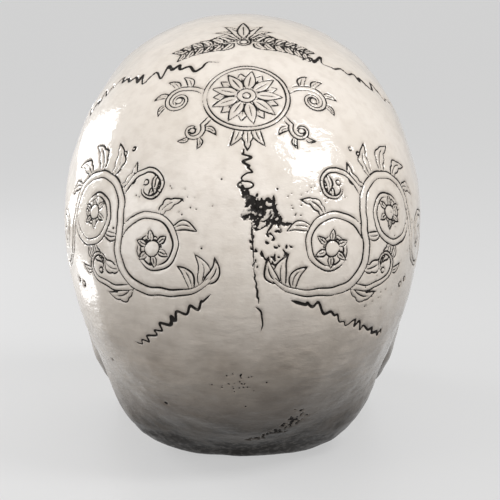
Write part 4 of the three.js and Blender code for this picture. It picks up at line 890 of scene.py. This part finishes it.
def sheltered(points, faces, chosen):
    """The share of rays from each chosen point that meet the skull within reach."""
    k = np.arange(ray_count) + 0.5
    tilt, turn = np.arccos(1 - 2 * k / ray_count), math.pi * (1 + 5**0.5) * k
    rays = np.stack([np.cos(turn) * np.sin(tilt), np.sin(turn) * np.sin(tilt), np.cos(tilt)], 1)
    normals = normals_of(points, faces)
    share = np.zeros(len(points))
    for i in np.flatnonzero(chosen):
        start = Vector(points[i] + normals[i] * 1.2 * mm)
        ahead = rays[rays @ normals[i] > 0.2]
        met = sum(solid_tree.ray_cast(start, Vector(ray), ray_reach)[0] is not None for ray in ahead)
        share[i] = met / len(ahead)
    edges = edges_of(faces)
    for _ in range(3):
        share = share * 0.4 + 0.6 * neighbours_mean(share[:, None], edges)[:, 0]
    return share


# Painted shade: sheltered spots, such as the eye sockets, are darkened brown where rays meet the skull.
head_shelter = sheltered(head_points, head_faces, ~hollow_skin & (braincase_share(head_points) < 0.3))
head_hollow = ease(hollows(head_points, head_faces, 14), 0.15 * mm, 0.9 * mm) * (1 - 0.6 * round_share)
height = head_points[:, 2]
gritty = noise_at(head_points, 2.2, 4.4, 3)
at_back = ease(head_points[:, 1], 25 * mm, 45 * mm)
uneven_rim = noise_at(head_points, 11, 6.6)
# Dark grit along the rim, which also paints the contact shadow where the back meets the floor.
rim = ease(height + gritty * 5 * mm + uneven_rim * 5 * mm, 12.5 * mm, 7.5 * mm) * at_back * outside
smeared = noise_at(head_points, 9, 8.8) + 0.6 * gritty
smudge = ease(height, 24 * mm, 9 * mm) * at_back * ease(smeared, 0.0, 0.32)
dirt = np.clip(np.maximum(rim, smudge), 0, 1)
write_mesh(cranium, head_points, head_faces, hollow=head_hollow, chip=chip, dirt=dirt, shelter=head_shelter)
print("cranium:", len(head_faces), "triangles; chipped points", int((chip > 0.5).sum()),
      "and sheltered points", int((head_shelter > 0.5).sum()))

# %% [markdown]
# ## Carving with Geometry Nodes
#
# The carving is a small tree of nodes. For each point of the skin it finds the nearest mark and how
# wide that mark is, lowers the point by a rounded groove, and stores how much ink the groove
# holds. The same tree could carve any other skin with any other marks.

# %% The carving tree
ink_slope = 4.0  # the stored ink falls from 1 to 0 over this many half widths


def new_tree(name, result, **inputs):
    """A geometry tree with one named result, and what its named inputs give."""
    tree = bpy.data.node_groups.new(name, "GeometryNodeTree")
    tree.interface.new_socket(name=result, in_out="OUTPUT", socket_type="NodeSocketGeometry")
    for key, kind in inputs.items():
        title = key.replace("_", " ").capitalize()
        tree.interface.new_socket(name=title, in_out="INPUT", socket_type="NodeSocket" + kind)
    return Nodes(tree), tree.nodes.new("NodeGroupInput").outputs


def close_tree(tree, result, geometry, given):
    real = tree.add("GeometryNodeRealizeInstances", {0: geometry})
    dressed = tree.add("GeometryNodeSetMaterial", {"Geometry": real.outputs[0], "Material": given["Finish"]})
    tree.add("NodeGroupOutput", {result: dressed.outputs[0]})
    print(tree.tree.name + ":", len(tree.tree.nodes), "nodes")
    return tree.tree


def carving_tree():
    tree, given = new_tree("carve marks", "Skin", skin="Geometry", marks="Object", depth="Float",
                           stain_reach="Float", finish="Material")
    mark_cloud = tree.add("GeometryNodeObjectInfo", {"Object": given["Marks"]}).outputs["Geometry"]
    place = tree.add("GeometryNodeInputPosition").outputs[0]
    nearest = tree.add("GeometryNodeSampleNearest", {"Geometry": mark_cloud, "Sample Position": place})
    named = tree.add("GeometryNodeInputNamedAttribute", {"Name": "half_width"}, data_type="FLOAT")

    def at_mark(value, data_type):
        links = {"Geometry": mark_cloud, "Index": nearest.outputs[0], "Value": value}
        return tree.add("GeometryNodeSampleIndex", links, data_type=data_type).outputs[0]

    mark_width = at_mark(named.outputs["Attribute"], "FLOAT")
    apart = {0: place, 1: at_mark(place, "FLOAT_VECTOR")}
    away = tree.add("ShaderNodeVectorMath", apart, operation="DISTANCE").outputs["Value"]
    share = tree.math("DIVIDE", away, mark_width)
    groove = tree.times(tree.step(share, 0.35, 1.5, 1.0, 0.0), given["Depth"])
    ink = tree.highest(tree.math("MULTIPLY_ADD", share, -1 / ink_slope, 1.0), 0.0)
    stain = tree.step(tree.math("SUBTRACT", away, mark_width), 0.0, given["Stain reach"], 1.0, 0.0)
    skin = given["Skin"]
    for name, value in (("ink", ink), ("stain", stain)):
        links = {"Geometry": skin, "Name": name, "Value": value}
        skin = tree.add("GeometryNodeStoreNamedAttribute", links).outputs[0]
    normal = tree.add("GeometryNodeInputNormal").outputs[0]
    down = tree.add("ShaderNodeVectorMath", {0: normal, "Scale": tree.times(groove, -1.0)}, operation="SCALE")
    carved = tree.add("GeometryNodeSetPosition", {"Geometry": skin, "Offset": down.outputs[0]})
    return close_tree(tree, "Skin", carved.outputs[0], given)


def run_tree(piece, tree, **inputs):
    """Runs a tree on a piece and keeps the result as a plain mesh."""
    modifier = piece.modifiers.new(tree.name, "NODES")
    modifier.node_group = tree
    for item in tree.interface.items_tree:
        key = item.name.replace(" ", "_").lower()
        if item.item_type == "SOCKET" and item.in_out == "INPUT" and key in inputs:
            modifier[item.identifier] = inputs[key]
    return settle(piece)


# %% [markdown]
# ## Lacquered bone
#
# The finish is built in layers, mostly as the maker's was: warm white paint that varies a little,
# painted shade that darkens the back towards the floor with a browner tone, brown wash in the small
# hollows and beside the lines, painted shade in the sheltered hollows, black ink in the lines and
# breaks, grit on the rim with a painted contact shadow at the floor, and a clear coat over all of it.
# The patterns sit on object coordinates, so they stay on the skull from every side.

# %% The bone finish
skull_bone, p = new_paint("lacquered bone")
black = (0.012, 0.010, 0.009)
edge = 1 - 1 / ink_slope
ink = p.step(p.attribute("ink"), edge - 0.05, edge + 0.05)
back, up = p.add("ShaderNodeSeparateXYZ", {0: p.place()}).outputs[1:]
behind = p.step(back, -0.03, 0.03, 0.4, 1.0)
# Painted shade, partly a browner tone of the paint: the back darkens towards the floor.
low = p.times(p.step(up, 0.080, 0.036), p.step(p.cloud(0.022, 4), 0.2, 0.75, 0.55, 1.0), behind)
brushed = p.step(p.cloud(0.009, 5, (0.8, 0.8, 1.8)), 0.4, 0.7, 0.0, 0.4)
# Painted shade: the back of the head goes almost black at the foot, by the floor.
painted_foot_shade = p.times(p.step(up, 0.048, 0.007, 0.0, 0.96), behind)
patchy = p.step(p.cloud(0.006, 4), 0.3, 0.62, 0.25, 1.0)
shade = p.step(p.attribute("shelter"), 0.22, 0.85)
chipped = p.times(p.attribute("chip"), p.step(p.cloud(0.0024, 3), 0.43, 0.5))
grit_and_contact_shadow_share = p.times(p.attribute("dirt"), p.step(p.cloud(0.0018, 3), 0.38, 0.48, 0.4, 1.0))
worn = p.step(p.cloud(0.0025, 3), 0.2, 0.42, 0.75, 1.0)

colour = p.layer((0.80, 0.735, 0.665), p.step(p.cloud(0.03, 3), 0.35, 0.65), (0.735, 0.67, 0.595))
for share, tone in (
        (p.step(p.cloud(0.004, 4), 0.42, 0.7, 0.0, 0.35), (0.60, 0.53, 0.46)),
        # painted shade low on the back, with darker brushed streaks in it
        (p.times(low, 0.82), (0.30, 0.24, 0.185)),
        (p.times(brushed, low), (0.16, 0.125, 0.095)),
        # painted shade at the foot
        (painted_foot_shade, (0.050, 0.040, 0.031)),
        # painted shade in sheltered spots, such as the eye sockets
        (p.times(shade, patchy, 0.95), (0.16, 0.11, 0.075)),
        (p.times(p.attribute("hollow"), patchy, 0.85), (0.20, 0.145, 0.10)),
        (p.times(p.attribute("stain"), patchy, 0.34), (0.34, 0.28, 0.23)),
        (chipped, black),
        # grit on the rim, with the painted contact shadow at the floor
        (grit_and_contact_shadow_share, (0.016, 0.013, 0.011)),
        (p.times(ink, worn), black)):
    colour = p.layer(colour, share, tone)
rough = p.math("ADD", p.step(p.cloud(0.012, 4), 0.3, 0.7, 0.38, 0.52), p.times(ink, 0.25))
bare = p.highest(ink, chipped, grit_and_contact_shadow_share, p.times(painted_foot_shade, 0.8))
p.finish(Base_Color=colour, Roughness=rough, Specular_IOR_Level=0.12, Coat_Roughness=0.065,
         Coat_Weight=p.math("MULTIPLY_ADD", bare, -0.85, 0.9))
rougher_low = p.times(p.cloud(0.004, 3, (1, 1, 1.8)), p.step(up, 0.09, 0.03, 0.3, 1.0))
p.bumps("Coat Normal", (rougher_low, 0.6, 0.0009))
patches = p.times(p.step(p.cloud(0.014, 2), 0.35, 0.65), p.step(up, 0.075, 0.04, 0.1, 1.0))
wrinkles = p.times(p.cloud(0.006, 3, (0.7, 0.7, 2.2)), patches)
p.bumps("Normal", (wrinkles, 0.6, 0.0010), (p.cloud(0.0045, 3, (1, 1, 1.6)), 0.5, 0.0004),
        (p.cloud(0.0012, 2, (1, 1, 2.2)), 0.3, 0.00014))
print("bone finish:", len(p.tree.nodes), "nodes")

# %% Carve the head
groove_depth = 0.45 * mm
stain_reach = 1.1 * mm

marks_holder = into_scene("marks", new_mesh("marks", mark_points))
store(marks_holder.data, "half_width", mark_widths)
run_tree(cranium, carving_tree(), marks=marks_holder, depth=groove_depth, stain_reach=stain_reach,
         finish=skull_bone)
bpy.data.objects.remove(marks_holder)
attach(cranium, "skull")
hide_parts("cranium")
print("carved cranium:", len(cranium.data.polygons), "faces")

# %% [markdown]
# ## The lower jaw
#
# The jaw is the same resin with the same finish. It gets the same treatment with a finer grain,
# because its blades are thin.

# %% Dress the jaw
jaw_grain = 1.4 * mm
jaw_lump = 0.22 * mm

mandible = dense_copy("mandible", "mandible_bone", jaw_grain)
points, faces = arrays(mandible.data)
ground = points[:, 2] < 0.5 * mm
soft = even_out(points, edges_of(faces), 4)
chin = ease(points[:, 1], -52 * mm, -80 * mm) * ease(points[:, 2], 42 * mm, 30 * mm)
soft = even_out(soft, edges_of(faces), 10, chin)
soft[ground, 2] = points[ground, 2]
uneven = noise_at(soft, 14, 6.1) + 0.4 * noise_at(soft, 5, 9.1)
soft = soft + normals_of(soft, faces) * (uneven * jaw_lump)[:, None]
soft[:, 2] = np.maximum(soft[:, 2], 0)
# Painted shade where rays from the jaw meet the skull, as on the cranium.
write_mesh(mandible, soft, faces, hollow=ease(hollows(soft, faces, 12), 0.08 * mm, 0.6 * mm),
           shelter=sheltered(soft, faces, np.ones(len(soft), bool)))
mandible.data.materials.append(skull_bone)
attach(mandible, "jaw")
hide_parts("mandible")
print("mandible:", len(mandible.data.polygons), "faces")

# %% [markdown]
# ## The teeth
#
# Enamel is smoother and yellower than the bone, and darker at the neck of each tooth and in the
# clefts between crowns, where the wash stays.

# %% Dress the teeth
tooth_grain = 0.55 * mm
tip_back = math.radians(31.58)  # how far the head leans back as it lies
bite_normal = np.array([0, -math.sin(tip_back), math.cos(tip_back)])

enamel, p = new_paint("ivory enamel")
colour = p.layer((0.74, 0.66, 0.50), p.step(p.cloud(0.006, 3), 0.35, 0.65), (0.66, 0.565, 0.40))
for share, tone in (
        (p.step(p.cloud(0.0015, 3, (1, 1, 0.25)), 0.45, 0.75, 0.0, 0.4), (0.50, 0.40, 0.26)),
        (p.times(p.attribute("neck"), 0.55), (0.42, 0.29, 0.17)),
        (p.times(p.attribute("hollow"), 0.9), (0.07, 0.045, 0.03))):
    colour = p.layer(colour, share, tone)
p.finish(Base_Color=colour, Roughness=p.step(p.cloud(0.004, 3), 0.3, 0.7, 0.18, 0.34),
         Coat_Weight=0.4, Coat_Roughness=0.08)
p.bumps("Normal", (p.cloud(0.0012, 2, (1, 1, 0.4)), 0.2, 0.00015))

for row, body, up in (("upper_teeth", "skull", 1), ("lower_teeth", "jaw", -1)):
    teeth = dense_copy(row, row + "_enamel", tooth_grain)
    points, faces = arrays(teeth.data)
    points = even_out(points, edges_of(faces), 2)
    deep = ease(hollows(points, faces, 10), 0.03 * mm, 0.20 * mm)
    rise = points @ bite_normal * up
    neck = ease(rise, rise.max() - 7.5 * mm, rise.max() - 3.0 * mm)
    write_mesh(teeth, points, faces, hollow=deep, neck=neck)
    teeth.data.materials.append(enamel)
    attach(teeth, body)
    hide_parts(row)
    print(row, len(teeth.data.polygons), "faces")

# %% [markdown]
# ## Steel wire
#
# Springs and screw eyes are bent wire. One tree sweeps a round section along the edges of any path
# and closes its ends. The path carries its own thickness, so that a screw eye can have a stout stem
# and a thin ring.

# %% The steel finish and the wire tree
steel, p = new_paint("zinc plated steel")
colour = p.layer((0.55, 0.54, 0.51), p.step(p.cloud(0.003, 4), 0.35, 0.65), (0.42, 0.41, 0.385))
for share, tone in ((p.step(p.cloud(0.0008, 3), 0.58, 0.72, 0.0, 0.6), (0.17, 0.15, 0.125)),
                    # Painted shade: the cross recess of each screw head is darkened almost to black.
                    (p.times(p.attribute("recess"), 0.85), (0.05, 0.045, 0.04))):
    colour = p.layer(colour, share, tone)
p.finish(Base_Color=colour, Roughness=p.step(p.cloud(0.0015, 3), 0.3, 0.7, 0.24, 0.46), Metallic=1.0)
p.bumps("Normal", (p.cloud(0.0004, 2), 0.25, 0.00004))


def wire_tree():
    tree, given = new_tree("sweep wire", "Wire", path="Geometry", radius="Float", sides="Int",
                           finish="Material")
    curve = tree.add("GeometryNodeMeshToCurve", {0: given["Path"]})
    circle = {"Resolution": given["Sides"], "Radius": given["Radius"]}
    section = tree.add("GeometryNodeCurvePrimitiveCircle", circle)
    thick = tree.add("GeometryNodeInputNamedAttribute", {"Name": "thick"}, data_type="FLOAT")
    sweep = {"Curve": curve.outputs[0], "Profile Curve": section.outputs[0], "Fill Caps": True}
    swept = tree.add("GeometryNodeCurveToMesh", sweep)
    if "Scale" in swept.inputs:
        feed(swept.inputs["Scale"], thick.outputs["Attribute"])
    smooth = tree.add("GeometryNodeSetShadeSmooth", {0: swept.outputs[0]})
    return close_tree(tree, "Wire", smooth.outputs[0], given)


wire = wire_tree()


def wire_piece(name, path, thick, radius, sides):
    mesh = new_mesh(name, path, edges=[(i, i + 1) for i in range(len(path) - 1)])
    store(mesh, "thick", thick * np.ones(len(path)))
    return run_tree(into_scene(name, mesh), wire, radius=radius, sides=sides, finish=steel)


# %% Screw eyes
eye_radius = 2.6 * mm
eye_wire = 1.1 * mm
eye_stem = 1.8 * mm
stem_points, ring_points = 16, 56
level = np.array([0, math.cos(tip_back), -math.sin(tip_back)])
upright = np.array([0, math.sin(tip_back), math.cos(tip_back)])

eye_places = {}
for side, hand in ((1, "left"), (-1, "right")):
    for row, body in (("upper", "skull"), ("lower", "jaw")):
        name = f"{row}_spring_eye_{hand}"
        low, high = np.array(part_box(name))
        inner, outer = (low[0], high[0]) if side > 0 else (high[0], low[0])
        ring = (low + high) / 2
        ring[0] = outer - side * (eye_radius + eye_wire / 2)
        eye_places[row, side] = ring
        turn = np.linspace(math.radians(183), math.radians(183 + 348), ring_points)[:, None]
        loop = ring + eye_radius * (np.cos(turn) * [side, 0, 0] + np.sin(turn) * upright)
        stem = np.tile(ring, (stem_points, 1))
        stem[:, 0] = np.linspace(inner, loop[0, 0] - side * 0.15 * mm, stem_points)
        taper = np.interp(np.arange(stem_points), [0, 1, 13, 15], [0.25, 0.97, 0.97, 0.7])
        thick = np.concatenate([taper, np.full(ring_points, eye_wire / eye_stem)])
        eye = wire_piece(name + "_wire", np.concatenate([stem, loop]), thick, eye_stem / 2, 14)
        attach(eye, body)
        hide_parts(name)
print("screw eyes:", len(eye_places), "each with", len(eye.data.polygons), "faces")

# %% [markdown]
# ## The two springs
#
# A spring is one wire: an open hook through the upper eye, a lead, sixteen curls, a lead and a
# hook through the lower eye. When the jaw opens the spring stretches between its hooks.

# %% Springs
spring_wire = 0.8 * mm
coil_radius = 2.3 * mm
spring_pitch = 1.6 * mm
hook_radius = 2.2 * mm
hook_gap = 0.3 * mm
lead = hook_radius * 1.75
curl_steps = 22


def spring_route(side):
    """The wire's path from hook to hook, its two ends, and its number of curls."""
    drop = eye_radius + hook_radius - eye_wire / 2 - spring_wire / 2 - hook_gap
    top = eye_places["upper", side] - upright * drop
    bottom = eye_places["lower", side] + upright * drop
    length = np.linalg.norm(bottom - top)
    down = (bottom - top) / length
    across = unit(level - down * (level @ down))
    curls = int((length - 2 * lead) / spring_pitch)
    hook = np.linspace(math.radians(-140), math.radians(90), 26)
    t = np.linspace(0, 1, 8)[1:-1]
    turn = np.linspace(0, curls * 2 * math.pi, curls * curl_steps + 1)
    coil = coil_radius * np.cos(turn), coil_radius * np.sin(turn)
    parts = [(-hook_radius * np.cos(hook), hook_radius * np.sin(hook), 0 * hook),
             (t * lead, hook_radius + (coil_radius - hook_radius) * t, 0 * t),
             (lead + (length - 2 * lead) * turn / turn[-1], *coil),
             (length - lead + t * lead, coil_radius + (hook_radius - coil_radius) * t, 0 * t),
             (length + hook_radius * np.cos(hook[::-1]), hook_radius * np.sin(hook[::-1]), 0 * hook)]
    route = np.concatenate([np.stack(part, 1) for part in parts])
    return top + route @ np.stack([down, across, np.cross(down, across)]), top, bottom, curls


for side, hand in ((1, "left"), (-1, "right")):
    route, top, bottom, curls = spring_route(side)
    spring = wire_piece(f"jaw_spring_{hand}_wire", route, 1.0, spring_wire / 2, 10)
    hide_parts(f"jaw_spring_{hand}")
    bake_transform(spring)
    print("spring", hand, "has", curls, "curls and", len(spring.data.polygons), "faces")

# %% [markdown]
# ## Pivot screws and washers
#
# Both are turned parts. A row of radii along the axis makes the body, the thread is a ridge that
# climbs one pitch for each turn, and the cross recess is pressed into the round head.

# %% Turned parts
screw_radius = 1.6 * mm
screw_sides = 96
head_radius = 3.4 * mm
head_height = 2.2 * mm
thread_pitch = 1.1 * mm
thread_height = 0.42 * mm
thread_length = 12 * mm
thread_step = 0.14 * mm
recess_half = 0.5 * mm
recess_reach = 1.9 * mm
recess_depth = 1.3 * mm
washer_sides = 64
washer_bore = 1.75 * mm
washer_edge = 0.15 * mm


def turned(rows, sides):
    """Rings of points from rows of (place along the axis, radius), and the faces between them."""
    angle = np.linspace(0, 2 * math.pi, sides, endpoint=False)
    grid = np.concatenate([np.stack([np.full(sides, x), radius * np.cos(angle), radius * np.sin(angle)], 1)
                           for x, radius in rows])
    quads = [(i * sides + j, i * sides + (j + 1) % sides) for i in range(len(rows) - 1) for j in range(sides)]
    return grid, [(a, b, b + sides, a + sides) for a, b in quads]


def turned_piece(name, grid, faces, side, smooth):
    """Puts a turned part on the hinge axis. Its faces look outwards on both sides of the head."""
    points = grid * [side, 1, 1] + [0, hinge[1], hinge[2]]
    mesh = new_mesh(name, points, [f[::-side] for f in faces], smooth=smooth)
    mesh.materials.append(steel)
    return into_scene(name, mesh)


def extent(low, high, side):
    """Where a box starts and ends on the hinge axis, from the middle outwards, and its radius."""
    inner, outer = sorted((side * low[0], side * high[0]))
    return inner, outer, (high[2] - low[2]) / 2


def thread_radius(x, inner, side):
    """The radii of the threaded end, with a core that narrows to its tip."""
    angle = np.linspace(0, 2 * math.pi, screw_sides, endpoint=False)
    ridge = 1 - 2 * np.abs((x / thread_pitch - side * angle / (2 * math.pi)) % 1 - 0.5)
    shank = 1 - ease(x, inner + thread_length, inner + thread_length - 2 * mm)
    grown = ease(x, inner + 0.2 * mm, inner + 2.2 * mm) * (1 - shank)
    core = (screw_radius - thread_height * 0.98) * (0.55 + 0.45 * ease(x, inner, inner + 2 * mm))
    return core + thread_height * (0.95 * ridge**1.5 * grown + 0.9 * shank)


def cut_recess(grid, head_from):
    """Pushes points of the head's round top down into a cross. Returns each point's share in it."""
    across = np.abs(grid[:, 1:])
    narrow = ease(across, recess_half * 1.2, recess_half * 0.8)
    short = ease(across, recess_reach, recess_reach * 0.85)
    arm = (narrow * short[:, ::-1]).max(1) * (grid[:, 0] > head_from + head_height * 0.5)
    grid[:, 0] -= recess_depth * arm * (1 - 0.45 * across.max(1) / recess_reach)
    return arm


for side, hand in ((1, "left"), (-1, "right")):
    low, high = np.array(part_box(f"hinge_screw_{hand}"))
    inner, outer, _ = extent(low, high, side)
    head_from = outer - head_height
    threaded = np.arange(inner + 0.1 * mm, inner + thread_length + 0.5 * mm, thread_step)
    rows = [(x, thread_radius(x, inner, side)) for x in threaded]
    rows += [(head_from - 0.02 * mm, screw_radius * 0.99), (head_from, screw_radius),
             (head_from, head_radius - 0.15 * mm), (head_from + 0.12 * mm, head_radius)]
    for t in np.linspace(0, 1, 46)[1:-1]:
        rise = head_height * (0.28 + 0.72 * (1 - (1 - t) ** 3.2) ** 0.5)
        rows.append((head_from + rise, head_radius * (1 - t)))
    grid, faces = turned(rows, screw_sides)
    recess = cut_recess(grid, head_from)
    count = len(grid)
    grid = np.concatenate([grid, [[inner, 0, 0], [outer - recess_depth, 0, 0]]])
    ring = [(j, (j + 1) % screw_sides) for j in range(screw_sides)]
    faces += [(count, b, a) for a, b in ring]
    faces += [(count + 1, count - screw_sides + a, count - screw_sides + b) for a, b in ring]
    screw = turned_piece(f"hinge_screw_{hand}_turned", grid, faces, side, True)
    store(screw.data, "recess", [*recess, 0, 1])
    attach(screw, "skull")
    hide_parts(f"hinge_screw_{hand}")

    low, high = np.array(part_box(f"hinge_washer_{hand}"))
    inner, outer, rim = extent(low, high, side)
    bore, edge = washer_bore, washer_edge
    profile = [(inner, bore + edge), (inner, rim - edge), (inner + edge, rim), (outer - edge, rim),
               (outer, rim - edge), (outer, bore + edge), (outer - edge, bore), (inner + edge, bore)]
    grid, faces = turned(profile + profile[:1], washer_sides)
    closed = len(profile) * washer_sides
    faces = [tuple(i % closed for i in f) for f in faces]
    washer = turned_piece(f"hinge_washer_{hand}_turned", grid[:closed], faces, side, False)
    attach(washer, "skull")
    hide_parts(f"hinge_washer_{hand}")
print("turned parts: screw", len(screw.data.polygons), "faces, washer", len(washer.data.polygons), "faces")
